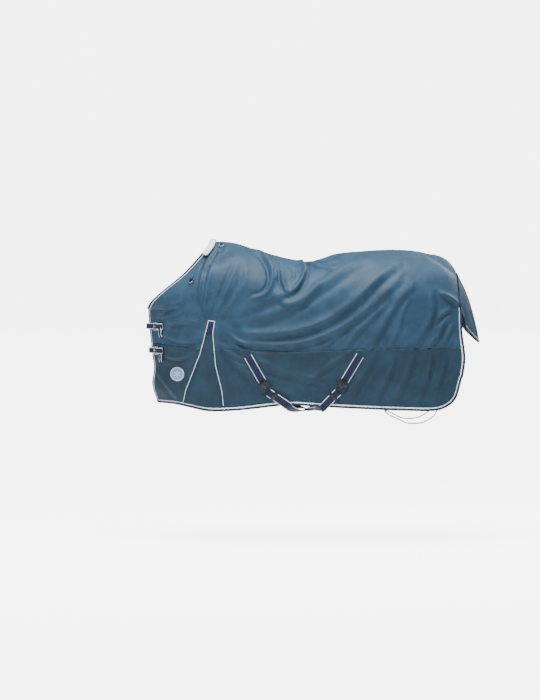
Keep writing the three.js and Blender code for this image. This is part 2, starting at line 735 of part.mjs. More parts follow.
// Slides on the belly straps, each a flat ring round the webbing where it runs straight.
const slideClearance = 1;
for (const [end, route] of [['front', frontRoute], ['rear', rearRoute]]) {
  const [from, to] = [route[1], route[2]];
  const run = to.point.clone().sub(from.point).normalize();
  const across = new THREE.Vector3().crossVectors(from.face, run).normalize();
  const normal = new THREE.Vector3().crossVectors(run, across);
  const centre = from.point.clone().lerp(to.point, 0.5);
  const matrix = new THREE.Matrix4().makeBasis(across, normal, run).setPosition(centre);
  const inner = rectangle(surcingleWidth + 2 * slideClearance, strapThickness + 2 * slideClearance);
  const rim = 2 * (slideClearance + slideWall);
  const outer = rectangle(surcingleWidth + rim, strapThickness + rim);
  const slide = plate(outer, [inner], adjusterLength, -adjusterLength / 2);
  addMesh(`surcingle_slide_${end}`, slide, steel, { metal: true, matrix });
}

// Rings and frames turn on a bar at their own origin, along X, and hang down minus Y.
function ringGeometry(width, height) {
  const half = width / 2;
  const radius = Math.min(half, height);
  const bendY = wire / 2 - (height - radius);
  const dShape = (path, reach, bend, top) => {
    path.moveTo(-reach, top);
    path.lineTo(-reach, bendY);
    path.absellipse(0, bendY, reach, bend, Math.PI, 2 * Math.PI, false);
    path.lineTo(reach, top);
    return path;
  };
  const shape = dShape(new THREE.Shape(), half, radius, wire / 2);
  const hole = dShape(new THREE.Path(), half - wire, radius - wire, -wire / 2);
  shape.holes = [hole];
  const depth = wire;
  const geometry = new THREE.ExtrudeGeometry(shape, { depth, bevelEnabled: false, curveSegments: 8 });
  return geometry.translate(0, 0, -wire / 2);
}

// A webbing tab: a flat tongue sewn down, with a loop round the bar at the origin.
function tabGeometry(width, length, wall = loopWall) {
  const outer = barRadius + wall;
  const loop = new THREE.Shape();
  loop.absarc(0, 0, outer, 0, 2 * Math.PI);
  const bore = new THREE.Path();
  bore.absarc(0, 0, barRadius, 0, 2 * Math.PI, true);
  loop.holes = [bore];
  const options = { depth: width, bevelEnabled: false, curveSegments: 10 };
  const eye = new THREE.ExtrudeGeometry(loop, options);
  const tongue = new THREE.ExtrudeGeometry(
    new THREE.Shape(rectangle(length - barRadius, wall, -(length + barRadius) / 2, wall / 2 - outer)),
    options,
  );
  const both = joined(eye, tongue);
  both.translate(0, 0, -width / 2);
  both.applyMatrix4(new THREE.Matrix4().makeBasis(
    new THREE.Vector3(0, -1, 0),
    new THREE.Vector3(0, 0, 1),
    new THREE.Vector3(-1, 0, 0),
  ));
  return both;
}

const barLift = onShell + layerGap + loopRadius;
function addRingAndTab(name, matrix, width, height) {
  addMesh(`ring_tab_${name}`, tabGeometry(width - 2 * wire - 2, tabLength), navy, { matrix });
  addMesh(`ring_${name}`, ringGeometry(width, height), steel, { metal: true, matrix });
}

// Neck rings lie on the cloth by the neckline; one ring lies behind the fleece on the near side.
const neckRingX = forward(0.3716);
const neckRingZ = -0.5594 * neckDrop;
for (const [name, side] of [['left', -1], ['right', 1]]) {
  addRingAndTab(`neck_${name}`, frameOn(side, neckRingX, neckRingZ, barLift, 0, -1), ringWidth, ringHeight);
}
const withersPlace = frameOn(-1, along(0.012), down(0.004), barLift, -0.3, -0.95);
addRingAndTab('withers', withersPlace, withersRingWidth, withersRingHeight);

// Breast buckles. Each frame is held by a tab on the near side; the strap comes round the chest
// from the off side, goes under the roller bar, up through the frame and over its rear bar.
const buckleOuter = [breastStrapWidth + 2 * wire + 4, buckleLength];
const buckles = { upper: { v: 0.512, x: 0.9098 }, lower: { v: 0.672, x: 0.9081 } };
const tongueSlotLength = 24;
const bucklePivotLift = barLift;

function buckleFrame() {
  const [width, length] = buckleOuter;
  const middleY = wire / 2 - length / 2;
  const hole = rectangle(width - 2 * wire, length - 2 * wire, 0, middleY);
  return plate(rectangle(width, length, 0, middleY), [hole], wire, -wire / 2);
}

function tongue() {
  const eye = new THREE.Shape();
  eye.absarc(0, 0, barRadius + tongueWidth / 2, 0, 2 * Math.PI);
  const bore = new THREE.Path();
  bore.absarc(0, 0, barRadius, 0, 2 * Math.PI, true);
  eye.holes = [bore];
  const options = { depth: tongueWidth, bevelEnabled: false, curveSegments: 6 };
  const root = barRadius + 0.5;
  const tip = buckleLength - wire / 2 + 1;
  const pin = new THREE.Shape([
    new THREE.Vector2(root, -1),
    new THREE.Vector2(tip, wire * 0.75),
    new THREE.Vector2(tip, wire / 2 + 3),
    new THREE.Vector2(root, 1.6),
  ]);
  const both = joined(new THREE.ExtrudeGeometry(eye, options), new THREE.ExtrudeGeometry(pin, options));
  both.translate(0, 0, -tongueWidth / 2);
  both.applyMatrix4(new THREE.Matrix4().makeBasis(
    new THREE.Vector3(0, -1, 0),
    new THREE.Vector3(0, 0, 1),
    new THREE.Vector3(-1, 0, 0),
  ));
  return both;
}

function box(width, length, depth, x, y, z) {
  return new THREE.BoxGeometry(width, length, depth).translate(x, y, z);
}

for (const [name, place] of Object.entries(buckles)) {
  const x = forward(place.x) + buckleLength / 2;
  const z = middle(0.03, place.v).z;
  const matrix = frameOn(-1, x, z, bucklePivotLift, -1, 0);
  const tab = tabGeometry(breastStrapWidth - 2, tabLength * 1.6);
  const gap = box(tongueWidth + 2 * slotClearance, 4 * loopRadius, 4 * loopRadius, 0, 0, 0);
  addMesh(`buckle_tab_${name}`, less(tab, gap), navy, { matrix });
  addMesh(`buckle_frame_${name}`, buckleFrame(), steel, { metal: true, matrix });
  addMesh(`buckle_tongue_${name}`, tongue(), steel, { metal: true, matrix });

  // Heights of the strap's middle over the bar's middle, from the tail to the front.
  const profile = [
    [46, -1], [30, 3.5], [14, loopRadius + strapThickness], [2, loopRadius + strapThickness], [-8, loopRadius - 0.6],
    [-20, -2.5], [-26, -wire / 2 - strapThickness / 2 - 1], [-buckleLength - 4, -wire / 2 - strapThickness / 2 - 1],
  ];
  const local = profile.map(([y, lift]) => {
    const point = new THREE.Vector3(0, y, lift).applyMatrix4(matrix);
    const face = new THREE.Vector3(0, 0, 1).transformDirection(matrix);
    return stop(point, face);
  });
  const drop = (u, side, lift) => {
    const v = place.v;
    const normal = outward(u, v);
    normal.y *= side;
    const point = middle(u, v).addScaledVector(outward(u, v), lift);
    point.y *= side;
    return stop(point, normal);
  };
  const round = stops([0.012, 0.1, 5]).map((u) => drop(u, 1, strapStandOff + strapThickness));
  const centre = middle(0, place.v);
  const nose = [-0.6, 0.6].map((k) => stop(
    new THREE.Vector3(centre.x - edgeTrim - strapStandOff * 0.7, k * chestEdgeHalf, centre.z),
    new THREE.Vector3(-1, k * 0.8, 0).normalize(),
  ));
  const strap = ribbon([...local, ...nose, ...round], breastStrapWidth);
  const slot = box(tongueWidth + 2 * slotClearance, tongueSlotLength, 30, 0, -8, 0).applyMatrix4(matrix);
  addMesh(`breast_strap_${name}`, less(strap, slot), navy);
}

// Badge sewn on the near shoulder, following the cloth.
const badgeX = forward(0.5834);
const badgeZ = down(0.794);
function badgeGrid(lift) {
  const half = badgeDiameter * 0.6;
  return stops([badgeZ - half, badgeZ + half, 5]).map((z) => (
    stops([badgeX - half, badgeX + half, 5]).map((x) => onCloth(-1, x, z, lift))
  ));
}
const badgeBlank = new THREE.CylinderGeometry(badgeDiameter / 2, badgeDiameter / 2, barrelHalfWidth * 2, 24);
badgeBlank.translate(badgeX, -barrelHalfWidth, badgeZ);
const badgeSheet = toSolid(sheet(badgeGrid(onShell + badgeThickness), badgeGrid(onShell)));
addMesh('badge', toGeometry(badgeSheet.intersect(toSolid(badgeBlank))), badgeBlue);

// Leg cords hang inside the hem, from a webbing anchor in front to a snap hook on a ring behind.
const legTabWall = 7.5;
const legLift = layerGap + barRadius + legTabWall;
const legFrontX = along(0.688);
const legFrontZ = down(0.933);
const legRearX = along(0.9135);
const legRingZ = down(0.8604);
const snapJaw = { low: 30, high: 52, half: 4.5, gateHigh: 47 };
const jawPlay = 1.4;
const cordGap = 0.5;
const snapThickness = 5;
const gateThickness = 3;
// Share of the way from the anchor to the snap, and how far the cord hangs below the line between them
const legRoute = [
  [0, 0], [0.007, 31], [0.01, 62], [0.11, 87], [0.24, 105], [0.39, 128], [0.513, 134], [0.68, 132],
  [0.83, 114], [0.937, 89], [0.987, 52], [1, 0],
];

for (const [name, side] of [['left', -1], ['right', 1]]) {
  const frontFrame = frameOn(side, legFrontX, legFrontZ, legLift, 0, -1, true);
  const rearFrame = frameOn(side, legRearX, legRingZ, legLift, 0, -1, true);
  addMesh(`leg_anchor_${name}`, tabGeometry(ringWidth / 2, tabLength, legTabWall), navy, { matrix: frontFrame });
  addMesh(`leg_ring_tab_${name}`, tabGeometry(ringWidth - 2 * wire - 2, tabLength, legTabWall), navy, {
    matrix: rearFrame,
  });
  const legRing = ringGeometry(ringWidth, ringHeight);
  addMesh(`leg_ring_${name}`, legRing, steel, { metal: true, matrix: rearFrame });

  const ringFoot = new THREE.Vector3(0, wire - ringHeight, 0).applyMatrix4(rearFrame);
  const snapFoot = new THREE.Vector3(ringFoot.x, ringFoot.y, ringFoot.z + wire / 2 - snapJaw.high + jawPlay);
  const cordStart = new THREE.Vector3().setFromMatrixPosition(frontFrame);
  cordStart.z -= barRadius + legTabWall + cordGap;
  const cordEnd = snapFoot.clone();
  cordEnd.z -= sewnGap;
  const points = legRoute.map(([share, fall]) => {
    const point = cordStart.clone().lerp(cordEnd, share);
    point.z -= fall;
    return point;
  });
  const curve = new THREE.CatmullRomCurve3(points, false, 'centripetal');
  const section = new THREE.Shape();
  section.absarc(0, 0, legCordDiameter / 2, 0, 2 * Math.PI);
  const cord = new THREE.ExtrudeGeometry(section, {
    steps: Math.round(curve.getLength() / (legCordDiameter * 2.5)),
    extrudePath: curve,
    curveSegments: 8,
    bevelEnabled: false,
  });
  addMesh(`leg_cord_${name}`, cord, cordGrey);

  // The snap is drawn in its own plane, its foot at the end of the cord, its jaw round the ring.
  const inwards = new THREE.Vector3(0, -side, 0);
  const basis = new THREE.Matrix4().makeBasis(
    inwards,
    new THREE.Vector3(0, 0, 1),
    new THREE.Vector3().crossVectors(inwards, new THREE.Vector3(0, 0, 1)),
  ).setPosition(snapFoot);
  const jaw = rectangle(
    snapJaw.half * 2, snapJaw.high - snapJaw.low, 0, (snapJaw.high + snapJaw.low) / 2,
  );
  const eye = rectangle(legCordDiameter, legCordDiameter, 0, legCordDiameter + 2);
  const snapHeight = snapJaw.high + 6;
  const outline = rectangle(2 * snapHalf, snapHeight, 0, snapHeight / 2);
  const mouth = box(
    snapHalf, snapJaw.gateHigh - snapJaw.low, snapThickness * 2,
    snapJaw.half + snapHalf / 2 - 0.5, (snapJaw.gateHigh + snapJaw.low) / 2, 0,
  );
  const snap = less(plate(outline, [jaw, eye], snapThickness, -snapThickness / 2), mouth);
  addMesh(`leg_snap_${name}`, snap, steel, { metal: true, matrix: basis });
  const pivotY = snapJaw.low + gateThickness;
  const pivotX = snapJaw.half + gateThickness / 2 + 0.2;
  const gateLength = snapJaw.gateHigh - snapJaw.low - gateThickness / 2 - 1;
  const gate = box(gateThickness, gateLength, snapThickness - 1, 0, gateLength / 2 - gateThickness / 2, 0);
  const gateFrame = basis.clone().multiply(new THREE.Matrix4().makeTranslation(pivotX, pivotY, 0));
  addMesh(`leg_snap_gate_${name}`, gate, steel, { metal: true, matrix: gateFrame });
}

export default group;
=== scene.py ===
"""A turnout rug in the shape it has when worn: seamed cloth, trims, webbing, fittings and leg cords."""

import json
import math

import bmesh
import bpy
import numpy as np
from bpy.props import FloatProperty, FloatVectorProperty, PointerProperty
from mathutils import Matrix, Vector, noise


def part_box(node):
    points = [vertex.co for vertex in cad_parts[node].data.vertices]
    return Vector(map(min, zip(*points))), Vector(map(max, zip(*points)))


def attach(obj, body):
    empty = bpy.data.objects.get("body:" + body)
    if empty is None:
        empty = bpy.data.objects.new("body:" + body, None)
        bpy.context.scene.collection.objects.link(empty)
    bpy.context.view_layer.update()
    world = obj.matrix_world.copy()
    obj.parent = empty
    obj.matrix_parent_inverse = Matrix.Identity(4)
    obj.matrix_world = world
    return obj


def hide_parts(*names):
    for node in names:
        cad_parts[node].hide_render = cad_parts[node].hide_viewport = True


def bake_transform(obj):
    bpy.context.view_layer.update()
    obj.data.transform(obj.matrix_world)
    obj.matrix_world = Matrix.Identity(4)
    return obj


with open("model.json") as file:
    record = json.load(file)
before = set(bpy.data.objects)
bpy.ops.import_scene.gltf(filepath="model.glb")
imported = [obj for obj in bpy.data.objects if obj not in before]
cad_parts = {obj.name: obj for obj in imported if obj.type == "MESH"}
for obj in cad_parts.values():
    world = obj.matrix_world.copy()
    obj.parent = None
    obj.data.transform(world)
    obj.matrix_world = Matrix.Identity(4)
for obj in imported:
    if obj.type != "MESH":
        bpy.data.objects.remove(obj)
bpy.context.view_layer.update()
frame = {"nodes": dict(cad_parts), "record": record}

bl_info = {
    "name": "Turnout rug",
    "version": (1, 0, 0),
    "blender": (4, 5, 0),
    "location": "3D View > Sidebar > Turnout rug",
    "description": "Builds a worn turnout rug with its straps, fittings and studio",
    "category": "Object",
}

# Sizes of the cut, in millimetres, the same as the solids they cover.
BACK_LENGTH = 1330
DROP_DEPTH = 895
CHEST_REACH = 383
NECK_DROP = 352
FRONT_HEM_DROP = 857
HALF_WIDTHS = [(-0.2, 262), (0.4, 310), (0.8, 302), (1, 250)]
NECK_HALF_WIDTH = 120
ARCH_RISES = [(0, 330), (0.4, 265), (1, 300)]
HEM_FLARE = 10
PIPING = 5
BINDING_WIDTH = 13
SEWN_GAP = 0.3
EDGE_TRIM = PIPING + BINDING_WIDTH + 2 * SEWN_GAP
CHEST_EDGE_HALF = EDGE_TRIM + 3
SPINE_HALF = 0.3

# Heights over the cloth's inside face: the outer faces of the lining and the shell, the inside of
# what is sewn on the shell, and the middle of the edge trims.
LINING_OUT = 1.5
SHELL_OUT = 5
ON_SHELL = 6.5
TRIM_MIDDLE = 3.25

# Shares of the way from the spine to the hem, but for the wrap, which is from the front to the rear.
NECK_SHARE = 0.4
ARCH_SHARE = 0.34
FLAP_INSET = 0.02
FLAP_SHARE = 0.255
FLEECE_SHARE = 0.085
WRAP_SHARE = 0.18
WRAP_FULLNESS = 0.92

NEAR, OFF = -1, 1
SIDES = {"left": NEAR, "right": OFF}


# ---------------------------------------------------------------- the shape of the cloth


def line_through(points):
    """A smooth line through points of rising x, level beyond its ends."""
    xs = np.array([p[0] for p in points], float)
    ys = np.array([p[1] for p in points], float)
    last = len(xs) - 1
    before = np.maximum(np.arange(last + 1) - 1, 0)
    after = np.minimum(np.arange(last + 1) + 1, last)
    slopes = (ys[after] - ys[before]) / (xs[after] - xs[before])

    def at(x):
        x = np.asarray(x, float)
        i = np.clip(np.searchsorted(xs, x) - 1, 0, last - 1)
        h = xs[i + 1] - xs[i]
        t = np.clip((x - xs[i]) / h, 0, 1)
        rise = t * t * (3 - 2 * t)
        leave = t * (1 - t) * (1 - t) * h * slopes[i]
        arrive = t * t * (1 - t) * h * slopes[i + 1]
        return ys[i] + (ys[i + 1] - ys[i]) * rise + leave - arrive

    return at


def spline(points, t):
    """Points of a Catmull-Rom curve, one span to each pair of points."""
    points = np.asarray(points, float)
    last = len(points) - 1
    place = np.clip(np.asarray(t, float), 0, 1) * last
    i = np.minimum(place.astype(int), last - 1)
    w = (place - i)[..., None]
    p0, p1 = points[np.maximum(i - 1, 0)], points[i]
    p2, p3 = points[i + 1], points[np.minimum(i + 2, last)]
    leave, arrive = (p2 - p0) / 2, (p3 - p1) / 2
    return (
        (2 * p1 - 2 * p2 + leave + arrive) * w**3
        + (-3 * p1 + 3 * p2 - 2 * leave - arrive) * w**2
        + leave * w
        + p1
    )


# The outlines, in shares of the back's length, the drop, the chest's reach and the neck's drop.
top_share = line_through([
    (-0.04, 0.024), (0.044, 0.013), (0.154, -0.027), (0.285, -0.08), (0.385, -0.1), (0.49, -0.054),
    (0.6, -0.037), (0.72, -0.027), (0.8, -0.031), (0.883, -0.053), (0.953, -0.093), (1, -0.178),
])
hem_share = line_through([
    (-0.26, -0.958), (-0.1, -0.99), (-0.02, -1), (0.09, -0.992), (0.286, -0.961), (0.395, -0.967),
    (0.55, -0.98), (0.8, -0.995), (0.9, -0.995), (0.945, -0.972), (0.978, -0.92), (1, -0.8),
])
seam_share = line_through([(-0.25, -0.607), (0, -0.637), (0.34, -0.65), (0.66, -0.636), (1, -0.628)])
rear_share = line_through([(0, 0.993), (0.4, 1), (0.75, 1.012), (1, 1.003)])
half_width = line_through(HALF_WIDTHS)
arch_rise = line_through(ARCH_RISES)
chest_share = line_through([
    (0, -1), (0.244, -0.977), (0.527, -0.935), (0.628, -0.917), (0.85, -0.935), (1, -0.88),
])
NECKLINE = [(-0.1, 0.06), (-0.175, -0.1), (-0.475, -0.46), (-0.77, -0.724), (-0.935, -0.892), (-1, -1)]
GUSSET_FRONT = [(-0.039, 0.461), (-0.073, 0.664), (-0.101, 0.772), (-0.133, 0.894), (-0.155, 1.06)]
GUSSET_REAR = [(-0.014, 0.466), (-0.022, 0.542), (-0.01, 0.739), (0.016, 0.898), (0.028, 1.06)]


def smooth(t):
    return t * t * (3 - 2 * t)


def mix(a, b, t):
    return a + (b - a) * t


def front_edge(v):
    """The neckline down to the chest, then the chest edge, as x, y, z."""
    t = np.clip(v / NECK_SHARE, 0, 1)
    neck = spline(NECKLINE, t)
    neck_y = mix(SPINE_HALF, CHEST_EDGE_HALF, t) + NECK_HALF_WIDTH * np.sin(np.pi * t).clip(0) ** 0.8
    s = np.clip((v - NECK_SHARE) / (1 - NECK_SHARE), 0, 1)
    on_neck = v < NECK_SHARE
    x = np.where(on_neck, neck[..., 0], chest_share(s)) * CHEST_REACH
    y = np.where(on_neck, neck_y, CHEST_EDGE_HALF)
    z = np.where(on_neck, neck[..., 1] * NECK_DROP, -mix(NECK_DROP, FRONT_HEM_DROP, s))
    return x, y, z


def shape(u, v):
    """The inside face of the off half: u from the front edge to the rear, v from the spine to the hem."""
    u, v = np.broadcast_arrays(np.asarray(u, float), np.asarray(v, float))
    front_x, front_y, front_z = front_edge(v)
    x = mix(front_x, rear_share(v) * BACK_LENGTH, u)
    share = x / BACK_LENGTH
    top = top_share(share) * DROP_DEPTH
    rise = arch_rise(share)
    width = half_width(share)
    angle = np.clip(v / ARCH_SHARE, 0, 1) * np.pi / 2
    t = np.clip((v - ARCH_SHARE) / (1 - ARCH_SHARE), 0, 1)
    on_arch = v < ARCH_SHARE
    side_y = np.where(on_arch, np.maximum(width * np.sin(angle), SPINE_HALF), width + HEM_FLARE * t)
    arch_z = top - rise * (1 - np.cos(angle))
    side_z = np.where(on_arch, arch_z, mix(top - rise, hem_share(share) * DROP_DEPTH, t))
    s = np.clip(u / WRAP_SHARE, 0, 1)
    y = mix(front_y, side_y, np.sin(np.pi / 2 * s).clip(0) ** WRAP_FULLNESS)
    return np.stack([x, y, mix(front_z, side_z, smooth(s))], -1)


def outward(u, v):
    """Unit normals of the off half."""
    d = 0.004
    along_u = shape(np.minimum(u + d, 1), v) - shape(np.maximum(u - d, 0), v)
    along_v = shape(u, np.minimum(v + d, 1)) - shape(u, np.maximum(v - d, 0))
    normal = np.cross(along_u, along_v)
    return normal / np.linalg.norm(normal, axis=-1, keepdims=True)


def place_at(x, z):
    """The u and v of the places that show at x and z from the side."""
    x, z = np.asarray(x, float), np.asarray(z, float)
    low, high = np.zeros_like(x), np.ones_like(x)

    def u_for(v):
        front = front_edge(v)[0]
        return np.clip((x - front) / (rear_share(v) * BACK_LENGTH - front), 0, 1)

    for _ in range(26):
        v = (low + high) / 2
        above = shape(u_for(v), v)[..., 2] > z
        low = np.where(above, v, low)
        high = np.where(above, high, v)
    return u_for(low), low


def seam_z(x):
    """The height of the long seam at x."""
    return seam_share(x / BACK_LENGTH) * DROP_DEPTH


def line_x(line, z):
    """The x of a gusset seam at height z."""
    xs = np.array([p[0] for p in line]) * BACK_LENGTH
    zs = -np.array([p[1] for p in line]) * DROP_DEPTH
    return np.interp(-np.asarray(z, float), -zs, xs)


# ---------------------------------------------------------------- folds

# Each fold is a crest line seen from the near side in x and z, its half width and its height. The
# hollow of a fold lies on the right of its line as it runs, which is below one that runs to the tail.
FOLDS = [
    # Long sweeps from the top of the gusset up to the croup
    ([
        (-5, -448), (121, -474), (275, -484), (429, -466), (561, -423), (682, -351), (792, -263),
        (891, -171), (990, -96),
    ], 30, 19),
    ([
        (11, -486), (143, -524), (297, -545), (451, -534), (583, -494), (693, -440), (803, -361),
        (913, -264), (990, -190),
    ], 24, 14),
    ([
        (33, -421), (187, -405), (341, -354), (451, -294), (561, -218), (671, -142), (781, -80),
        (869, -50),
    ], 38, 13),
    ([(55, -377), (187, -338), (297, -288), (407, -240), (517, -175), (600, -110)], 30, 7),
    ([(60, -500), (130, -535), (200, -560)], 12, 9),
    ([(40, -470), (110, -520), (160, -553)], 10, 8),
    # Folds that rise from the gusset to the withers
    ([(55, 3), (11, -46), (-34, -134), (-62, -244), (-70, -332), (-52, -410)], 16, 15),
    ([(-34, -42), (-66, -101), (-90, -178), (-97, -277), (-77, -376)], 13, 9),
    ([(105, -110), (63, -204), (28, -294), (-10, -380)], 18, 9),
    ([(150, -80), (150, -190), (90, -300), (10, -400)], 20, 6),
    ([(-150, -240), (-175, -310), (-150, -400)], 16, 5),
    # Slack that hangs in loops in the dip of the back
    ([(190, -20), (240, -50), (277, -98), (296, -150), (290, -222), (250, -272), (190, -290)], 15, 21),
    ([(286, -62), (312, -92), (322, -140), (316, -190)], 9, 11),
    ([(330, -96), (346, -150), (360, -215), (385, -268)], 12, 17),
    ([(385, -268), (428, -240), (462, -190), (478, -130), (452, -84), (400, -62)], 14, 19),
    ([(400, -110), (430, -140), (428, -186), (400, -210)], 10, 8),
    ([(500, -96), (561, -122), (640, -128)], 11, 8),
    ([(517, -75), (594, -92), (671, -84)], 10, 6),
    ([(300, -250), (363, -312), (451, -317), (517, -264), (560, -200)], 22, 9),
    # Slanting folds above the long seam, towards the rear
    ([(590, -560), (650, -500), (740, -430)], 14, 8),
    ([(700, -560), (760, -480), (850, -390), (930, -310)], 19, 9),
    ([(826, -562), (890, -470), (941, -380), (990, -300), (1060, -230)], 23, 14),
    ([(930, -564), (985, -470), (1010, -380), (1050, -290)], 18, 9),
    ([(1062, -564), (1110, -500), (1160, -420), (1180, -340), (1165, -250)], 22, 12),
    ([(1150, -560), (1208, -500), (1240, -430), (1290, -380)], 16, 11),
    ([(1240, -555), (1270, -480), (1300, -430)], 13, 9),
    # Below the long seam, fanning from the gusset and then slanting to the rear
    ([(11, -475), (88, -540), (187, -616), (341, -694), (506, -729), (671, -741)], 24, 10),
    ([(11, -530), (88, -639), (187, -728), (319, -794), (451, -827)], 22, 10),
    ([(33, -576), (143, -631), (290, -650)], 14, 7),
    ([(5, -596), (55, -717), (121, -827)], 17, 6),
    ([(484, -760), (594, -673), (682, -618), (737, -578)], 18, 8),
    ([(710, -849), (764, -760), (825, -673), (858, -612)], 22, 11),
    ([(850, -868), (905, -783), (950, -684), (970, -596)], 20, 9),
    ([(960, -868), (1010, -772), (1054, -673), (1076, -596)], 22, 10),
    ([(1096, -858), (1141, -750), (1164, -673), (1175, -596)], 18, 9),
    ([(1196, -800), (1231, -706), (1253, -618)], 15, 8),
    # Pulls from the breast buckles and the front of the shoulder
    ([(-325, -442), (-231, -418), (-141, -420), (-80, -440)], 17, 8),
    ([(-325, -475), (-229, -515), (-120, -520), (-70, -490)], 16, 9),
    ([(-335, -380), (-264, -332), (-187, -310)], 17, 6),
    ([(-335, -400), (-250, -380), (-160, -350)], 13, 5),
    ([(-330, -584), (-241, -618), (-165, -600), (-99, -560)], 15, 6),
    ([(-335, -706), (-264, -794), (-215, -849)], 17, 6),
    # Loose cloth in the gusset
    ([(-48, -540), (-62, -638), (-99, -738), (-143, -840)], 11, 8),
    ([(-30, -560), (-23, -700), (-24, -850)], 12, 7),
    # The dart over the thigh and the pull over the rump
    ([(1225, -262), (1260, -280), (1295, -304), (1331, -338)], 13, 18),
    ([(1195, -420), (1240, -372), (1290, -345)], 13, 12),
    ([(1180, -48), (1254, -85), (1320, -150)], 16, 11),
]

# Places where something is sewn on or lies on the cloth and holds it flat: two ends and a reach.
FLAT_PLACES = [
    ((165, -609), (245, -747), 34),
    ((245, -747), (341, -875), 42),
    ((781, -604), (696, -745), 34),
    ((696, -745), (608, -875), 42),
    ((-223, -711), (-223, -711), 52),
    ((-142, -197), (-142, -215), 32),
    ((14, -4), (10, -22), 24),
    ((-345, -447), (-290, -447), 30),
    ((-345, -582), (-290, -582), 30),
    ((-38, -420), (-44, -480), 26),
]

# How far the folds of the off side lie from those of the near side, in x and z.
OFF_SHIFT = (46, 27)
# The lowest that the cloth hangs over a leg cord's snap, how much lower it may hang elsewhere, and
# the highest crest.
SHALLOWEST, DEEPER, HIGHEST = 0.5, 12.5, 20
# Where the snap hangs just inside the lining, and the reach round it that is kept shallow.
SNAP_PLACE = (1212, -835)
SNAP_REACH = 65


def nearest_on_line(x, z, line):
    """Signed distance, positive on the right of the line, and the share of the way along it."""
    best = np.full(x.shape, np.inf)
    signed = np.zeros_like(x)
    along = np.zeros_like(x)
    spans = len(line) - 1
    for k in range(spans):
        ax, az = line[k]
        dx, dz = line[k + 1][0] - ax, line[k + 1][1] - az
        length2 = dx * dx + dz * dz
        t = np.clip(((x - ax) * dx + (z - az) * dz) / length2, 0, 1)
        ox, oz = x - ax - dx * t, z - az - dz * t
        distance = np.hypot(ox, oz)
        closer = distance < best
        best = np.where(closer, distance, best)
        side = np.where(dz * ox - dx * oz >= 0, 1, -1)
        signed = np.where(closer, distance * side, signed)
        along = np.where(closer, (k + t) / spans, along)
    return signed, along


def fold_height(x, z):
    """How far the folds lift the cloth at x and z, in millimetres."""
    height = np.zeros_like(x)
    for points, width, peak in FOLDS:
        line = spline(points, np.linspace(0, 1, 4 * len(points)))
        reach = 4 * width
        low, high = line.min(0) - reach, line.max(0) + reach
        near = (x > low[0]) & (x < high[0]) & (z > low[1]) & (z < high[1])
        if not near.any():
            continue
        signed, along = nearest_on_line(x[near], z[near], line)
        s = signed / width
        crest = np.exp(-(np.abs(s) ** 1.5))
        hollow = 0.75 * np.exp(-(((s - 1.3) / 0.7) ** 2))
        taper = np.sin(np.pi * np.clip(along, 0.02, 0.98)) ** 0.55
        height[near] += peak * taper * (crest - hollow)
    return height


def flatness(x, z):
    """1 on open cloth, falling to 0 where something holds it flat."""
    free = np.ones_like(x)
    for start, end, reach in FLAT_PLACES:
        if start == end:
            distance = np.hypot(x - start[0], z - start[1])
        else:
            distance = np.abs(nearest_on_line(x, z, [start, end])[0])
        free *= smooth(np.clip((distance - 0.6 * reach) / (0.8 * reach), 0, 1))
    return free


def ripples(x, z, v, side):
    """Small creases: along the long seam and the hem, and all over, finer and lower."""
    drift = 3.1 if side == OFF else 0.0
    total = np.empty_like(x)
    flat = total.reshape(-1)
    for i, (a, b) in enumerate(zip(x.reshape(-1), z.reshape(-1))):
        broad = noise.noise(Vector((a / 95, b / 60 + a / 240, drift)))
        fine = noise.noise(Vector((a / 34 - b / 60, b / 26, 7 + drift)))
        flat[i] = 1.5 * broad + 0.6 * fine
    to_seam = np.abs(z - seam_z(x))
    pucker = np.sin(x / 5.2 + 2.2 * np.sin(x / 61)) * np.exp(-to_seam / 16) * 0.7
    groove = -1.5 * np.exp(-((to_seam / 4) ** 2))
    above = np.clip(z - seam_z(x), 0, None)
    # The cloth is gathered over the seam, most of all from the middle of the back to the rear
    gathered = smooth(np.clip((x - 500) / 300, 0, 1)) * np.exp(-above / 30) * (above > 0)
    gathered = gathered + 0.3 * np.exp(-to_seam / 18)
    gathers = 3.2 * np.sin((x - 0.7 * above) / 8.2 + 1.6 * np.sin(x / 71)) * gathered
    pucker = pucker + gathers * (1 - np.exp(-above / 8))
    outside_gusset = (x < line_x(GUSSET_FRONT, z)) | (x > line_x(GUSSET_REAR, z)) | (v < 0.5)
    hem = np.sin(x / 6.3 + 1.7 * np.sin(x / 47)) * np.exp(-(1 - v) / 0.03) * 0.5
    return total + np.where(outside_gusset, pucker + groove, 0) + hem


def lift_of(u, v, side, folds):
    """The cloth's lift over its smooth shape, in millimetres."""
    base = shape(u, v)
    x, z = base[..., 0], base[..., 2]
    shift = smooth(np.clip((v - 0.06) / 0.3, 0, 1)) if side == OFF else np.zeros_like(x)
    fold_x, fold_z = x + OFF_SHIFT[0] * shift, z + OFF_SHIFT[1] * shift
    free = flatness(x, z)
    spine = 0.25 + 0.75 * smooth(np.clip(v / 0.05, 0, 1))
    lift = (fold_height(fold_x, fold_z) * folds * spine + ripples(x, z, v, side)) * free
    # No hollow reaches the leg cord's snap, which swings just inside the lining
    from_snap = np.hypot(x - SNAP_PLACE[0], z - SNAP_PLACE[1])
    beyond = smooth(np.clip(from_snap / SNAP_REACH - 1, 0, 1))
    return np.clip(lift, -SHALLOWEST - DEEPER * beyond, HIGHEST)


def facing(u, v, side):
    """The way out of the cloth on either side."""
    normal = outward(u, v)
    normal[..., 1] *= side
    return normal


def placed(side, x, z, lift=0.0):
    """A point of the smooth cloth seen at x and z, lifted off its inside face, in millimetres."""
    u, v = place_at(x, z)
    point = shape(u, v) + outward(u, v) * lift
    point[..., 1] = np.maximum(point[..., 1], SPINE_HALF) * side
    return point


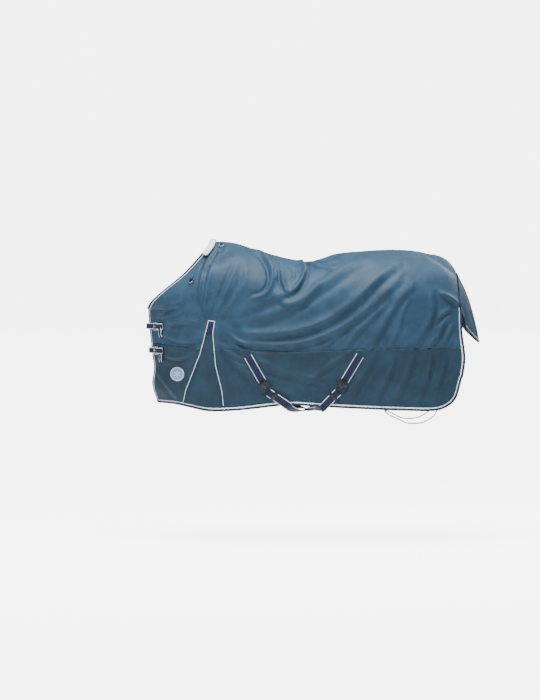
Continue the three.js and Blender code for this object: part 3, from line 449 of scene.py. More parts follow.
def frame_on(side, x, z, lift, point_x, point_z):
    """Axes on the cloth: the third out of it, the second away from the way a piece points."""
    u, v = place_at(x, z)
    normal = facing(u, v, side)
    origin = placed(side, x, z) + normal * lift
    ahead = placed(side, x + point_x * 10, z + point_z * 10) - placed(side, x, z)
    ahead = ahead - normal * np.dot(ahead, normal)
    up = -ahead / np.linalg.norm(ahead)
    return origin, np.cross(up, normal), up, normal


# ---------------------------------------------------------------- making meshes and materials


def rgb(hexcode):
    """A colour given as sRGB hex, as the linear values that shaders take."""
    parts = [int(hexcode[i:i + 2], 16) / 255 for i in (1, 3, 5)]
    return tuple(c / 12.92 if c <= 0.04045 else ((c + 0.055) / 1.055) ** 2.4 for c in parts)


def add_node(tree, kind, settings=None, inputs=None):
    """Adds one node with its settings, and its inputs as values or as other nodes' outputs."""
    made = tree.nodes.new(kind)
    for key, value in (settings or {}).items():
        setattr(made, key, value)
    for key, value in (inputs or {}).items():
        if isinstance(value, bpy.types.NodeSocket):
            tree.links.new(value, made.inputs[key])
        else:
            made.inputs[key].default_value = value
    return made


def start_material(name):
    material = bpy.data.materials.new(name)
    material.use_nodes = True
    tree = material.node_tree
    shader = tree.nodes["Principled BSDF"]
    return material, tree, shader


def wave_scale(period):
    """The Wave Texture's scale for bands a period apart, in metres."""
    return math.pi / (10 * period)


def colour_between(tree, factor, low, high, dark, light):
    """A colour that runs from dark to light as the factor goes from low to high."""
    ramp = add_node(tree, "ShaderNodeValToRGB", inputs={"Fac": factor})
    ramp.color_ramp.elements[0].position = low
    ramp.color_ramp.elements[1].position = high
    ramp.color_ramp.elements[0].color = (*rgb(dark), 1)
    ramp.color_ramp.elements[1].color = (*rgb(light), 1)
    return ramp.outputs["Color"]


def woven(name, dark, light, thread, roughness, sheen, depth, twill=False, patch=0.09):
    """Woven cloth: threads both ways on the piece's own UV map, slightly uneven in colour."""
    material, tree, shader = start_material(name)
    place = add_node(tree, "ShaderNodeTexCoord")
    uv = place.outputs["UV"]
    spot = place.outputs["Object"]
    bands = [
        add_node(
            tree, "ShaderNodeTexWave", {"wave_type": "BANDS", "bands_direction": way},
            {"Vector": uv, "Scale": wave_scale(thread), "Distortion": 0.3, "Detail": 1.0},
        ).outputs["Fac"]
        for way in (("DIAGONAL", "X") if twill else ("X", "Y"))
    ]
    weave = add_node(tree, "ShaderNodeMath", {"operation": "MULTIPLY"}, {0: bands[0], 1: bands[1]}).outputs[0]
    cloud = add_node(
        tree, "ShaderNodeTexNoise",
        inputs={"Vector": spot, "Scale": 1 / patch, "Detail": 4.0, "Roughness": 0.55},
    ).outputs["Fac"]
    fleck = add_node(
        tree, "ShaderNodeTexNoise", inputs={"Vector": uv, "Scale": 0.6 / thread, "Detail": 2.0},
    ).outputs["Fac"]
    mixed = add_node(tree, "ShaderNodeMath", {"operation": "MULTIPLY_ADD"}, {0: weave, 1: 0.16, 2: cloud})
    varied = add_node(
        tree, "ShaderNodeMath", {"operation": "MULTIPLY_ADD"}, {0: fleck, 1: 0.2, 2: mixed.outputs[0]},
    ).outputs[0]
    tree.links.new(colour_between(tree, varied, 0.3, 1.05, dark, light), shader.inputs["Base Color"])
    relief = add_node(tree, "ShaderNodeMath", {"operation": "MULTIPLY_ADD"}, {0: fleck, 1: 0.5, 2: weave})
    bump = add_node(
        tree, "ShaderNodeBump", inputs={"Strength": 0.5, "Distance": depth, "Height": relief.outputs[0]},
    )
    tree.links.new(bump.outputs["Normal"], shader.inputs["Normal"])
    shader.inputs["Roughness"].default_value = roughness
    shader.inputs["Sheen Weight"].default_value = sheen
    shader.inputs["Sheen Roughness"].default_value = 0.4
    shader.inputs["Specular IOR Level"].default_value = 0.2
    return material


def plated_steel(name, dark, light, roughness):
    """Nickel-plated steel: bright and neutral, a little duller in faint patches where it is handled."""
    material, tree, shader = start_material(name)
    place = add_node(tree, "ShaderNodeTexCoord").outputs["Object"]
    cloud = add_node(
        tree, "ShaderNodeTexNoise", inputs={"Vector": place, "Scale": 160.0, "Detail": 3.0},
    ).outputs["Fac"]
    tree.links.new(colour_between(tree, cloud, 0.3, 0.7, dark, light), shader.inputs["Base Color"])
    rough = add_node(
        tree, "ShaderNodeMapRange",
        inputs={"Value": cloud, "To Min": roughness - 0.06, "To Max": roughness + 0.1},
    )
    tree.links.new(rough.outputs[0], shader.inputs["Roughness"])
    bump = add_node(tree, "ShaderNodeBump", inputs={"Strength": 0.08, "Distance": 0.0002, "Height": cloud})
    tree.links.new(bump.outputs["Normal"], shader.inputs["Normal"])
    shader.inputs["Metallic"].default_value = 1.0
    return material


def wool(name, dark, light):
    """Fleece: white curled wool, matt, with soft shade between the curls."""
    material, tree, shader = start_material(name)
    place = add_node(tree, "ShaderNodeTexCoord").outputs["Object"]
    curls = add_node(
        tree, "ShaderNodeTexVoronoi", {"feature": "SMOOTH_F1"},
        {"Vector": place, "Scale": 260.0, "Smoothness": 0.6},
    ).outputs["Distance"]
    tree.links.new(colour_between(tree, curls, 0.15, 0.75, light, dark), shader.inputs["Base Color"])
    bump = add_node(
        tree, "ShaderNodeBump", {"invert": True}, {"Strength": 0.8, "Distance": 0.0025, "Height": curls},
    )
    tree.links.new(bump.outputs["Normal"], shader.inputs["Normal"])
    shader.inputs["Roughness"].default_value = 0.95
    shader.inputs["Sheen Weight"].default_value = 0.5
    return material


def braid(name, dark, light, pitch):
    """Braided cord: strands that cross round it, drawn coarser than the 1 mm of the real one."""
    material, tree, shader = start_material(name)
    place = add_node(tree, "ShaderNodeTexCoord").outputs["Object"]
    strands = add_node(
        tree, "ShaderNodeTexVoronoi", {"feature": "F1"}, {"Vector": place, "Scale": 1 / pitch},
    ).outputs["Distance"]
    # Darker from each strand's middle to its edges: painted shade between the strands
    tree.links.new(colour_between(tree, strands, 0.1, 0.7, light, dark), shader.inputs["Base Color"])
    bump = add_node(
        tree, "ShaderNodeBump", {"invert": True}, {"Strength": 0.7, "Distance": 0.0006, "Height": strands},
    )
    tree.links.new(bump.outputs["Normal"], shader.inputs["Normal"])
    shader.inputs["Roughness"].default_value = 0.7
    return material


# Woven finishes: the name, the darker threads, the lighter ones or the colour that a user sets, the
# thread spacing in metres, roughness, sheen, the weave's depth in metres, and whether it is a twill.
# The threads are drawn coarser than the real ones, which are too fine to show.
WOVEN = {
    # Oxford nylon with a proofed back: a plain weave with a low sheen
    "shell_nylon": ("oxford_nylon_woven", "#1A2F3F", "shell", 0.0022, 0.5, 0.02, 0.0004, False),
    # The same cloth for the skirt, the lower panels and gussets, coloured darker as painted shade where they
    # hang steeply and take less light from above
    "skirt_nylon_painted_shade": ("oxford_nylon_skirt_woven", "#172934", "skirt", 0.0022, 0.5, 0.02, 0.0004, False),
    # Plain polyester lining, matt
    "lining": ("polyester_lining_woven", "#222B45", "#34405F", 0.0016, 0.7, 0.2, 0.0003, False),
    # Herringbone binding tape, matt
    "binding": ("polyester_tape_woven", "#191E36", "binding", 0.0028, 0.75, 0.15, 0.0006, True),
    # Satin over a cord: smooth and a little shiny
    "piping": ("satin_piping_woven", "#B9C9DA", "#E6EEF6", 0.0018, 0.45, 0.1, 0.0003, True),
    # Polypropylene webbing: thick ribs with a slight shine, and white threads at both edges
    "webbing": ("polypropylene_webbing_woven", "#12172F", "webbing", 0.003, 0.6, 0.0, 0.0008, True),
    "selvedge": ("polypropylene_selvedge_woven", "#AEB9CC", "#DDE4EE", 0.002, 0.6, 0.0, 0.0004, False),
    # Spun polyester thread in two colours
    "webbing_thread": ("polyester_thread_navy", "#252C4A", "#3A4266", 0.0012, 0.5, 0.1, 0.0001, False),
    "thread": ("polyester_thread_spun", "#25415A", "#355570", 0.0012, 0.5, 0.1, 0.0001, False),
    # Twill badge with glossier rayon embroidery on it
    "badge": ("twill_badge_woven", "#5B7399", "badge", 0.002, 0.65, 0.15, 0.0003, True),
    "badge_rim": ("rayon_embroidery_stitched", "#A3B4D0", "#D2DCEC", 0.0014, 0.4, 0.2, 0.0005, False),
}
OTHER_FINISHES = {
    "fleece": (wool, "wool_fleece_curled", "#CFCFCB", "#FBFAF7"),
    "cord": (braid, "polyester_cord_braided", "#1F1D20", "#4A464A", 0.0022),
    "steel": (plated_steel, "steel_nickel_plated", "#A5A8AD", "#D5D8DB", 0.28),
    "hook_steel": (plated_steel, "steel_black_nickel", "#2C2E32", "#56595E", 0.36),
}
MATERIALS = {}


def material_of(key):
    """Each of the rug's materials, made when it is first asked for."""
    if key in MATERIALS:
        return MATERIALS[key]
    if key in WOVEN:
        name, dark, light, *rest = WOVEN[key]
        if not light.startswith("#"):
            light = hexed(getattr(bpy.context.scene.rug_colours, light))
        MATERIALS[key] = woven(name, dark, light, *rest)
    else:
        maker, *rest = OTHER_FINISHES[key]
        MATERIALS[key] = maker(*rest)
    return MATERIALS[key]


def hexed(colour):
    """The sRGB hex code of a colour property, whose values are linear."""
    encoded = [c * 12.92 if c <= 0.0031308 else 1.055 * c ** (1 / 2.4) - 0.055 for c in colour]
    return "#" + "".join(f"{round(255 * min(max(c, 0), 1)):02X}" for c in encoded)


BODY_OF_NODE = {
    node: body for body, nodes in frame["record"]["behaviour"]["bodies"].items() for node in nodes
}


def finished(name, bm, materials, body, replaces=(), angle=None):
    """Turns a bmesh into a smooth piece that rides on its body and stands for its CAD nodes."""
    mesh = bpy.data.meshes.new(name)
    bm.to_mesh(mesh)
    bm.free()
    for key in materials:
        mesh.materials.append(material_of(key))
    mesh.polygons.foreach_set("use_smooth", [True] * len(mesh.polygons))
    if angle is not None:
        mesh.set_sharp_from_angle(angle=angle)
    piece = bpy.data.objects.new(name, mesh)
    bpy.context.scene.collection.objects.link(piece)
    if body:
        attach(piece, body)
    if replaces:
        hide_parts(*replaces)
    return piece


def lattice(points, closed=False, marks=None, outside=None):
    """A grid shaped to rows of points in metres, its UV map in metres, its faces marked by column."""
    points = np.asarray(points, float)
    if closed:
        points = np.concatenate([points, points[:, :1]], 1)
    rows, cols = points.shape[:2]
    bm = bmesh.new()
    bmesh.ops.create_grid(bm, x_segments=cols - 1, y_segments=rows - 1, size=1)
    uv_layer = bm.loops.layers.uv.new("UVMap")
    across = np.zeros((rows, cols))
    along = np.zeros((rows, cols))
    across[:, 1:] = np.cumsum(np.linalg.norm(np.diff(points, axis=1), axis=2), axis=1)
    along[1:] = np.cumsum(np.linalg.norm(np.diff(points, axis=0), axis=2), axis=0)
    across -= across.mean(axis=1, keepdims=True)
    for face in bm.faces:
        if marks is not None:
            column = int((face.calc_center_median().x + 1) / 2 * (cols - 1))
            face.material_index = marks[min(column, len(marks) - 1)]
        for loop in face.loops:
            i = round((loop.vert.co.x + 1) / 2 * (cols - 1))
            j = round((loop.vert.co.y + 1) / 2 * (rows - 1))
            loop[uv_layer].uv = (across[j, i], along[j, i])
    for vert in bm.verts:
        i = round((vert.co.x + 1) / 2 * (cols - 1))
        j = round((vert.co.y + 1) / 2 * (rows - 1))
        vert.co = points[j, i]
    if closed:
        bmesh.ops.remove_doubles(bm, verts=bm.verts, dist=1e-6)
        rim = [edge for edge in bm.edges if edge.is_boundary]
        bmesh.ops.holes_fill(bm, edges=rim, sides=0)
        bmesh.ops.recalc_face_normals(bm, faces=bm.faces)
    if outside is not None:
        bm.normal_update()
        middle_face = min(bm.faces, key=lambda f: (f.calc_center_median() - Vector(outside[0])).length)
        if middle_face.normal.dot(Vector(outside[1])) < 0:
            bmesh.ops.reverse_faces(bm, faces=bm.faces)
    return bm


def run_frames(points, normals):
    """For a run of points: each one's normal, and the way sideways from the run, mitred at corners."""
    runs = np.diff(points, axis=0)
    runs /= np.linalg.norm(runs, axis=1, keepdims=True)
    before = np.concatenate([runs[:1], runs])
    after = np.concatenate([runs, runs[-1:]])
    run = before + after
    run /= np.linalg.norm(run, axis=1, keepdims=True)
    normal = normals - run * (normals * run).sum(1, keepdims=True)
    normal /= np.linalg.norm(normal, axis=1, keepdims=True)
    sideways = np.cross(run, normal) / (run * before).sum(1)[:, None]
    return normal, sideways


def swept(points, normals, section, puckers=None, sign=1):
    """Rings of a section of (sideways, normal) sizes in millimetres along a run in millimetres."""
    normal, sideways = run_frames(points, normals)
    section = np.asarray(section, float)
    out = normal[:, None] * section[None, :, 1:]
    rings = points[:, None] + sign * sideways[:, None] * section[None, :, :1] + out
    if puckers is not None:
        rings = rings + out * puckers[:, None, None]
    return rings / 1000


def refined(points, normals, spacing):
    """A run and its normals with more points, on one smooth curve."""
    length = np.linalg.norm(np.diff(points, axis=0), axis=1).sum()
    t = np.linspace(0, 1, max(int(length / spacing), 2) + 1)
    more = spline(points, t)
    turned = spline(normals, t)
    return more, turned / np.linalg.norm(turned, axis=1, keepdims=True)


def webbing_section(width, thickness, selvedge=3.6):
    """Both faces and the rounded edges of a strap, with the columns that its white edges take."""
    w, h = width / 2, thickness / 2
    half = [
        (-w, -h * 0.4), (-w + 0.8, -h), (-w + selvedge, -h),
        (w - selvedge, -h), (w - 0.8, -h), (w, -h * 0.4),
    ]
    ring = half + [(-a, -b) for a, b in half]
    marks = [1, 1, 0, 1, 1, 1, 1, 1, 0, 1, 1, 1]
    return ring, marks


def disc_section(radius, sides, centre=(0.0, 0.0)):
    """A round section of so many sides, in millimetres."""
    turns = [2 * math.pi * (k + 0.5) / sides for k in range(sides)]
    return [(centre[0] + radius * math.cos(a), centre[1] + radius * math.sin(a)) for a in turns]


def softened(node, radius, materials, segments=2):
    """A copy of a CAD node with its sharp edges rounded, standing for that node."""
    bm = bmesh.new()
    bm.from_mesh(frame["nodes"][node].data)
    bmesh.ops.remove_doubles(bm, verts=bm.verts, dist=2e-5)
    bmesh.ops.dissolve_limit(bm, angle_limit=math.radians(3), verts=bm.verts, edges=bm.edges)
    bmesh.ops.recalc_face_normals(bm, faces=bm.faces)
    sharp = [e for e in bm.edges if len(e.link_faces) == 2 and e.calc_face_angle(0) > math.radians(32)]
    bmesh.ops.bevel(
        bm, geom=sharp, offset=radius, offset_type="OFFSET", segments=segments, profile=0.5,
        affect="EDGES", clamp_overlap=True, material=-1,
    )
    bmesh.ops.triangulate(bm, faces=[f for f in bm.faces if len(f.verts) > 4])
    bm.normal_update()
    uv_layer = bm.loops.layers.uv.verify()
    for face in bm.faces:
        steepest = max(range(3), key=lambda k: abs(face.normal[k]))
        for loop in face.loops:
            loop[uv_layer].uv = [loop.vert.co[k] for k in range(3) if k != steepest]
    return finished(node + "_finished", bm, materials, BODY_OF_NODE[node], [node], math.radians(40))


# ---------------------------------------------------------------- sizes and colours a user may change


def thread_colour(name, cloth, lighter):
    return FloatVectorProperty(
        name=name, description=f"Lighter threads of {cloth}", subtype="COLOR", default=rgb(lighter),
    )


class RugColours(bpy.types.PropertyGroup):
    """Colours that a user may change"""

    shell: thread_colour("Shell", "the outer cloth", "#294860")
    # The skirt's default is darker than the shell's: painted shade on the steep lower panels
    skirt: thread_colour("Skirt", "the lower panels", "#213A4C")
    binding: thread_colour("Binding", "the edge tape", "#262D4A")
    webbing: thread_colour("Webbing", "the straps", "#1D2442")
    badge: thread_colour("Badge", "the badge", "#7F98C0")


def distance(name, description, default, **limits):
    return FloatProperty(
        name=name, description=description, subtype="DISTANCE", unit="LENGTH", default=default, **limits,
    )


class RugSizes(bpy.types.PropertyGroup):
    """Sizes that a user may change"""

    cell: distance("Cloth cell", "Size of one square of the cloth's mesh", 0.0064, min=0.003, max=0.02)
    folds: FloatProperty(
        name="Fold depth", description="How deep the folds hang, 1 as worn", default=1.0, min=0, max=1.4,
    )
    shell: distance("Shell thickness", "Thickness of the outer cloth", 0.002)
    stitch: distance("Stitch pitch", "From one stitch to the next", 0.008)


def sizes():
    return bpy.context.scene.rug_sizes


# ---------------------------------------------------------------- cloth

# Lengths of cloth in millimetres that the grid's squares are shared out over: before, in and behind
# the gusset, and above the gusset, beside it down to the long seam and below the seam.
COLUMN_RUNS = (350, 36, 1330)
ROW_RUNS = (590, 165, 330)
# Where the long seam and its stitches start, in shares of the chest's reach.
SEAM_START, STITCH_START = -0.93, -0.915


class SideGrid:
    """The u and v of one half's cloth, with its seams along rows and columns of the grid."""

    def __init__(self, cell):
        mm = cell * 1000
        steps = np.linspace(0, 1, 60)
        seam_x = mix(CHEST_REACH * SEAM_START, BACK_LENGTH, steps)
        seam_u, seam_v = place_at(seam_x, seam_z(seam_x))
        fall = mix(GUSSET_FRONT[0][1], 1.0, steps) * -DROP_DEPTH
        front_u, front_v = place_at(line_x(GUSSET_FRONT, fall), fall)
        rear_u, rear_v = place_at(line_x(GUSSET_REAR, fall), fall)
        top_v = float((front_v[0] + rear_v[0]) / 2)
        self.columns, self.rows = (
            np.cumsum([0, *(int(run / mm) for run in runs)]).tolist() for runs in (COLUMN_RUNS, ROW_RUNS)
        )
        a = np.arange(self.columns[-1] + 1)[None, :]
        b = np.arange(self.rows[-1] + 1)[:, None]
        u = np.broadcast_to(a / self.columns[-1], (b.size, a.size))
        for _ in range(4):
            seam = np.interp(u, seam_u, seam_v)
            v = self.between(b, self.rows, [0, top_v, seam, 1])
            left = np.interp(v, front_v, front_u)
            right = np.interp(v, rear_v, rear_u)
            u = self.between(a, self.columns, [0, left, right, 1])
        self.u, self.v = u, v

    @staticmethod
    def between(index, marks, values):
        """Values at the marks, and evenly between them."""
        out = None
        for k in range(len(marks) - 1):
            t = np.clip((index - marks[k]) / (marks[k + 1] - marks[k]), 0, 1)
            piece = mix(values[k], values[k + 1], t)
            out = piece if out is None else np.where(index > marks[k], piece, out)
        return out


GRID = {}


def side_grid():
    """The grid that both halves share, made once."""
    if not GRID:
        GRID["grid"] = SideGrid(sizes().cell)
    return GRID["grid"]


def side_points(side):
    """The outer face of one half, made once for all the pieces that follow it, in millimetres."""
    if side not in GRID:
        grid = side_grid()
        lift = lift_of(grid.u, grid.v, side, sizes().folds)
        GRID[side] = shape(grid.u, grid.v), outward(grid.u, grid.v), lift
    return GRID[side]


def raised(side, above, rows=slice(None), columns=slice(None)):
    """Points a height above the cloth's inside face, folds and all, in millimetres."""
    base, normal, lift = side_points(side)
    base, normal, lift = base[rows, columns], normal[rows, columns], lift[rows, columns]
    points = base + normal * (lift + above)[..., None]
    points[..., 1] = np.maximum(points[..., 1], SPINE_HALF) * side
    return points


def area_of(points):
    """The area of a grid of points in metres."""
    a, b = points[1:, 1:] - points[:-1, :-1], points[1:, :-1] - points[:-1, 1:]
    return float(np.linalg.norm(np.cross(a, b), axis=2).sum() / 2)


def thicken(piece, thickness):
    """Gives a single cloth face its thickness, inwards from its outer face."""
    solid = piece.modifiers.new("thickness", "SOLIDIFY")
    solid.thickness = thickness
    solid.offset = -1
    solid.use_even_offset = False


# The panels below the upper one: their first and last runs of rows and of columns.
PANELS = {
    "shell_front_lower": (2, 3, 0, 1),
    "shell_gusset": (1, 3, 1, 2),
    "shell_side_lower": (2, 3, 2, 3),
}
# Cells of the grid whose middles are this close, in metres, are the same cell.
SAME_PLACE = 0.0002


def outward_hint(points, side):
    """A point in the middle of a grid and the way out of the rug there."""
    rows, cols = points.shape[:2]
    spot = points[rows // 2, cols // 2]
    return tuple(spot), (0.0, float(side), 0.35)


def cloth_piece(node, bm, materials, thickness):
    """A cut of cloth in place of its CAD node, given its thickness."""
    piece = finished(f"{node}_cloth", bm, materials, "rug", [node])
    thicken(piece, thickness)


def upper_panel(side):
    """The upper panel: every row above the seam, without the gusset that rises into it."""
    grid = side_grid()
    rows, cols = grid.rows, grid.columns
    points = raised(side, SHELL_OUT)[: rows[2] + 1] / 1000
    bm = lattice(points, outside=outward_hint(points[:, cols[2]:], side))
    wedge = points[rows[1]:, cols[1]: cols[2] + 1]
    centres = (wedge[:-1, :-1] + wedge[1:, :-1] + wedge[:-1, 1:] + wedge[1:, 1:]) / 4
    keys = {tuple(np.round(c / SAME_PLACE).astype(int)) for c in centres.reshape(-1, 3)}
    near = {tuple(np.add(key, step) - 1) for key in keys for step in np.ndindex(3, 3, 3)}
    gone = [
        face for face in bm.faces
        if tuple(round(c / SAME_PLACE) for c in face.calc_center_median()) in near
    ]
    bmesh.ops.delete(bm, geom=gone, context="FACES")
    return bm, points, area_of(wedge)


class RUG_OT_shell(bpy.types.Operator):
    """Outer cloth: four panels on each side, seamed together"""

    bl_idname = "rug.shell"
    bl_label = "Shell panels"

    def execute(self, context):
        grid, thickness = side_grid(), sizes().shell
        for name, side in SIDES.items():
            bm, points, hole = upper_panel(side)
            cloth_piece(
                f"shell_upper_{name}", bm, ["shell_nylon"], thickness,
            )
            for panel, (r0, r1, c0, c1) in PANELS.items():
                rows = slice(grid.rows[r0], grid.rows[r1] + 1)
                columns = slice(grid.columns[c0], grid.columns[c1] + 1)
                points = raised(side, SHELL_OUT, rows, columns) / 1000
                bm = lattice(points, outside=outward_hint(points, side))
                # The panels below the upper one take the skirt colour, darker as painted shade
                cloth_piece(
                    f"{panel}_{name}", bm, ["skirt_nylon_painted_shade"], thickness,
                )
        return {"FINISHED"}


class RUG_OT_lining(bpy.types.Operator):
    """Lining of each half, following the folds of the shell"""

    bl_idname = "rug.lining"
    bl_label = "Lining"

    def execute(self, context):
        for name, side in SIDES.items():
            base, normal, lift = side_points(side)
            rows, cols = lift.shape
            every_other = [sorted({*range(0, count, 2), count - 1}) for count in lift.shape]
            # Each place takes the lowest lift near it, so the coarser lining stays inside the shell
            padded = np.pad(lift, 2, mode="edge")
            lowest = np.min([padded[j:j + rows, i:i + cols] for j, i in np.ndindex(5, 5)], axis=0)
            points = base + normal * (lowest + LINING_OUT)[..., None]
            points[..., 1] = np.maximum(points[..., 1], SPINE_HALF) * side
            points = points[np.ix_(*every_other)] / 1000
            bm = lattice(points, outside=outward_hint(points, side))
            cloth_piece(f"lining_{name}", bm, ["lining"], LINING_OUT / 1000)
        return {"FINISHED"}


# ---------------------------------------------------------------- trims


# Half the tape's section: the way out from the piping, and the way off the middle of the cloth.
BINDING_HALF = [(0, -1.5), (1.3, -2.5), (4.5, -2.8), (9, -2.6), (11.8, -2.0), (13, -0.7)]


def binding_section(start):
    """The folded tape, from its fold against the piping to its outer edge."""
    near = [(start + a, b) for a, b in BINDING_HALF]
    far = [(start + a, -b) for a, b in reversed(BINDING_HALF)]
    return near + far


def downward(points, normals):
    """The sign that turns a run's sideways to the foot of the cloth at its middle."""
    _, sideways = run_frames(points, normals)
    return -1 if sideways[len(points) // 2][2] > 0 else 1


def edge_run(side):
    """The cloth's outer edge from the fleece round to the tail flap: middles of the edge and normals."""
    grid = side_grid()
    base, normal, lift = side_points(side)
    first = int(np.argmax(grid.v[:, 0] >= FLEECE_SHARE))
    last = int(np.argmax(grid.v[:, -1] >= FLAP_SHARE))
    down = [(j, 0) for j in range(first, grid.rows[-1] + 1)]
    back = [(grid.rows[-1], i) for i in range(1, grid.columns[-1] + 1)]
    up = [(j, grid.columns[-1]) for j in range(grid.rows[-1] - 1, last - 1, -1)]
    j, i = np.array(down + back + up).T
    points = base[j, i] + normal[j, i] * (lift[j, i] + TRIM_MIDDLE)[:, None]
    normals = normal[j, i]
    return points, normals


def distances(points):
    """How far along a run each of its points is."""
    return np.concatenate([[0], np.cumsum(np.linalg.norm(np.diff(points, axis=0), axis=1))])


def edge_piece(name, side, section, finish, node, pucker):
    """A trim along the whole edge of one half, slightly puckered."""
    points, normals = edge_run(side)
    distance = distances(points)
    rise = pucker * np.sin(distance / 2.6 + np.sin(distance / 37))
    rings = swept(points, normals, section, rise, downward(points, normals))
    rings[..., 1] *= side
    finished(name, lattice(rings, closed=True), [finish], "rug", [node])


class RUG_OT_edges(bpy.types.Operator):
    """Binding tape folded over the edge, with white piping between it and the cloth"""

    bl_idname = "rug.edges"
    bl_label = "Binding and piping"

    def execute(self, context):
        piping = disc_section(PIPING / 2, 8, (SEWN_GAP + PIPING / 2, 0.6))
        tape = binding_section(PIPING + 2 * SEWN_GAP)
        for name, side in SIDES.items():
            edge_piece(f"piping_edge_{name}_cord", side, piping, "piping", f"piping_edge_{name}", 0.04)
            edge_piece(f"binding_edge_{name}_tape", side, tape, "binding", f"binding_edge_{name}", 0.09)
        return {"FINISHED"}


def gusset_run():
    """The piped seam up the front of the gusset, across its top and down its rear, in x and z."""
    legs = []
    for line in (GUSSET_FRONT, GUSSET_REAR):
        fall = np.linspace(line[0][1], 1.0, 60) * -DROP_DEPTH
        x = line_x(line, fall)
        hem = hem_share(x / BACK_LENGTH) * DROP_DEPTH + BINDING_WIDTH
        legs.append(np.stack([x, np.maximum(fall, hem)], 1)[: int(np.argmax(fall <= hem)) + 1])
    return np.concatenate([legs[0][::-1], legs[1]])


def on_folds(side, x, z, above):
    """Places on the draped cloth seen at x and z, with the way out there, in millimetres."""
    u, v = place_at(x, z)
    lift = lift_of(u, v, side, sizes().folds)
    points = shape(u, v) + outward(u, v) * (lift + above)[..., None]
    points[..., 1] *= side
    return points, facing(u, v, side)


# The patch over a gusset's top: its top and foot in shares of the drop, its gap from the piping in
# millimetres, its cells each way and its thickness in metres.
PATCH = {"top": 0.474, "foot": 0.545, "gap": 1.5, "cells": 12, "thickness": 0.0015}


class RUG_OT_gussets(bpy.types.Operator):
    """Piping round each shoulder gusset and the webbing patch that strengthens its top"""

    bl_idname = "rug.gussets"
    bl_label = "Gusset trims"

    def execute(self, context):
        for name, side in SIDES.items():
            route = gusset_run()
            points, normals = on_folds(side, route[:, 0], route[:, 1], SHELL_OUT + 1.2)
            rings = swept(points, normals, disc_section(PIPING / 2 * 0.8, 8))
            node = f"piping_gusset_{name}"
            finished(f"{node}_cord", lattice(rings, closed=True), ["piping"], "rug", [node])
            rows = np.linspace(PATCH["top"], PATCH["foot"], PATCH["cells"] + 1)[:, None] * -DROP_DEPTH
            inset = PIPING / 2 + PATCH["gap"]
            left = line_x(GUSSET_FRONT, rows) + inset * 1.1
            right = line_x(GUSSET_REAR, rows) - inset
            x = mix(left, right, np.linspace(0, 1, PATCH["cells"] + 1)[None, :])
            z = np.broadcast_to(rows, x.shape)
            patch = on_folds(side, x, z, SHELL_OUT + 1.8)[0] / 1000
            bm = lattice(patch, outside=outward_hint(patch, side))
            node = f"gusset_patch_{name}"
            piece = finished(f"{node}_webbing", bm, ["webbing"], "rug", [node])
            thicken(piece, PATCH["thickness"])
        return {"FINISHED"}


# A stitch's depth through the cloth, in metres.
STITCH_DEPTH = 0.0012


def stitched(name, runs, pitch, length, width, rise=0.5, finish="thread"):
    """Runs of short stitches, each a small block sunk into the cloth."""
    bm = bmesh.new()
    for points, normals in runs:
        distance = distances(points)
        stops = np.arange(pitch / 2, distance[-1], pitch)
        where = np.stack([np.interp(stops, distance, points[:, k]) for k in range(3)], 1)
        ahead = np.stack([np.interp(stops + 1, distance, points[:, k]) for k in range(3)], 1) - where
        faces = np.stack([np.interp(stops, distance, normals[:, k]) for k in range(3)], 1)
        for spot, run, face in zip(where, ahead, faces):
            run, face = Vector(run).normalized(), Vector(face).normalized()
            across = face.cross(run).normalized()
            turn = Matrix((run, across, run.cross(across))).transposed().to_4x4()
            size = Matrix.Diagonal((length / 1000, width / 1000, STITCH_DEPTH, 1))
            move = Matrix.Translation((Vector(spot) + face * rise) / 1000)
            bmesh.ops.create_cube(bm, size=1, matrix=move @ turn @ size)
    finished(name, bm, [finish], "rug")


class RUG_OT_stitching(bpy.types.Operator):
    """Double rows of stitches along the seams and single rows inside the binding"""

    bl_idname = "rug.stitching"
    bl_label = "Stitching"

    def execute(self, context):
        pitch = sizes().stitch * 1000
        grid = side_grid()
        for name, side in SIDES.items():
            runs = []
            rear_x = np.linspace(line_x(GUSSET_REAR, -575) + 14, BACK_LENGTH - 4, 420)
            front_x = np.linspace(CHEST_REACH * STITCH_START, line_x(GUSSET_FRONT, -560) - 12, 90)
            for x in (rear_x, front_x):
                for above_seam in (4.5, 10.5):
                    runs.append(on_folds(side, x, seam_z(x) + above_seam, SHELL_OUT))
            stitched(f"seam_stitches_{name}", runs, pitch, pitch * 0.55, 1.0)
            base, normal, lift = side_points(side)
            down = grid.rows[-1] - 1
            edge = base[down] + normal[down] * (lift[down] + SHELL_OUT)[:, None]
            edge[:, 1] *= side
            faces = normal[down].copy()
            faces[:, 1] *= side
            stitched(f"hem_stitches_{name}", [(edge, faces)], pitch, pitch * 0.55, 0.9)
        return {"FINISHED"}


# ---------------------------------------------------------------- tail flap


# Half the flap's width at its foot, its length and how far it stands out behind, at its middle and
# at its sides, its gap from the shell and its thickness, in millimetres.
FLAP = {
    "half": 165, "length": 377, "side_length": 126, "reach": 124, "side_reach": 32, "gap": 4, "thick": 3.5,
}
# Where the trims of the flap start, in shares of the way down its sides.
FLAP_TRIM_START = 0.22


def flap_point(s, t, lift):
    """Places on the tail flap: s from side to side, t from its seam down, lift outwards."""
    s, t = np.broadcast_arrays(np.asarray(s, float), np.asarray(t, float))
    across = np.abs(s)
    top = shape(np.ones_like(across), across * (FLAP_SHARE - FLAP_INSET))
    spread = across**2
    length = mix(FLAP["length"], FLAP["side_length"], spread)
    stand = mix(FLAP["reach"], FLAP["side_reach"], spread)
    y = mix(top[..., 1], across * FLAP["half"], t)
    bulge = np.sin(np.pi * t) * stand * 0.1
    x = top[..., 0] + FLAP["gap"] + SHELL_OUT + stand * t + bulge + lift
    return np.stack([x, np.sign(s) * y, top[..., 2] - length * t], -1)


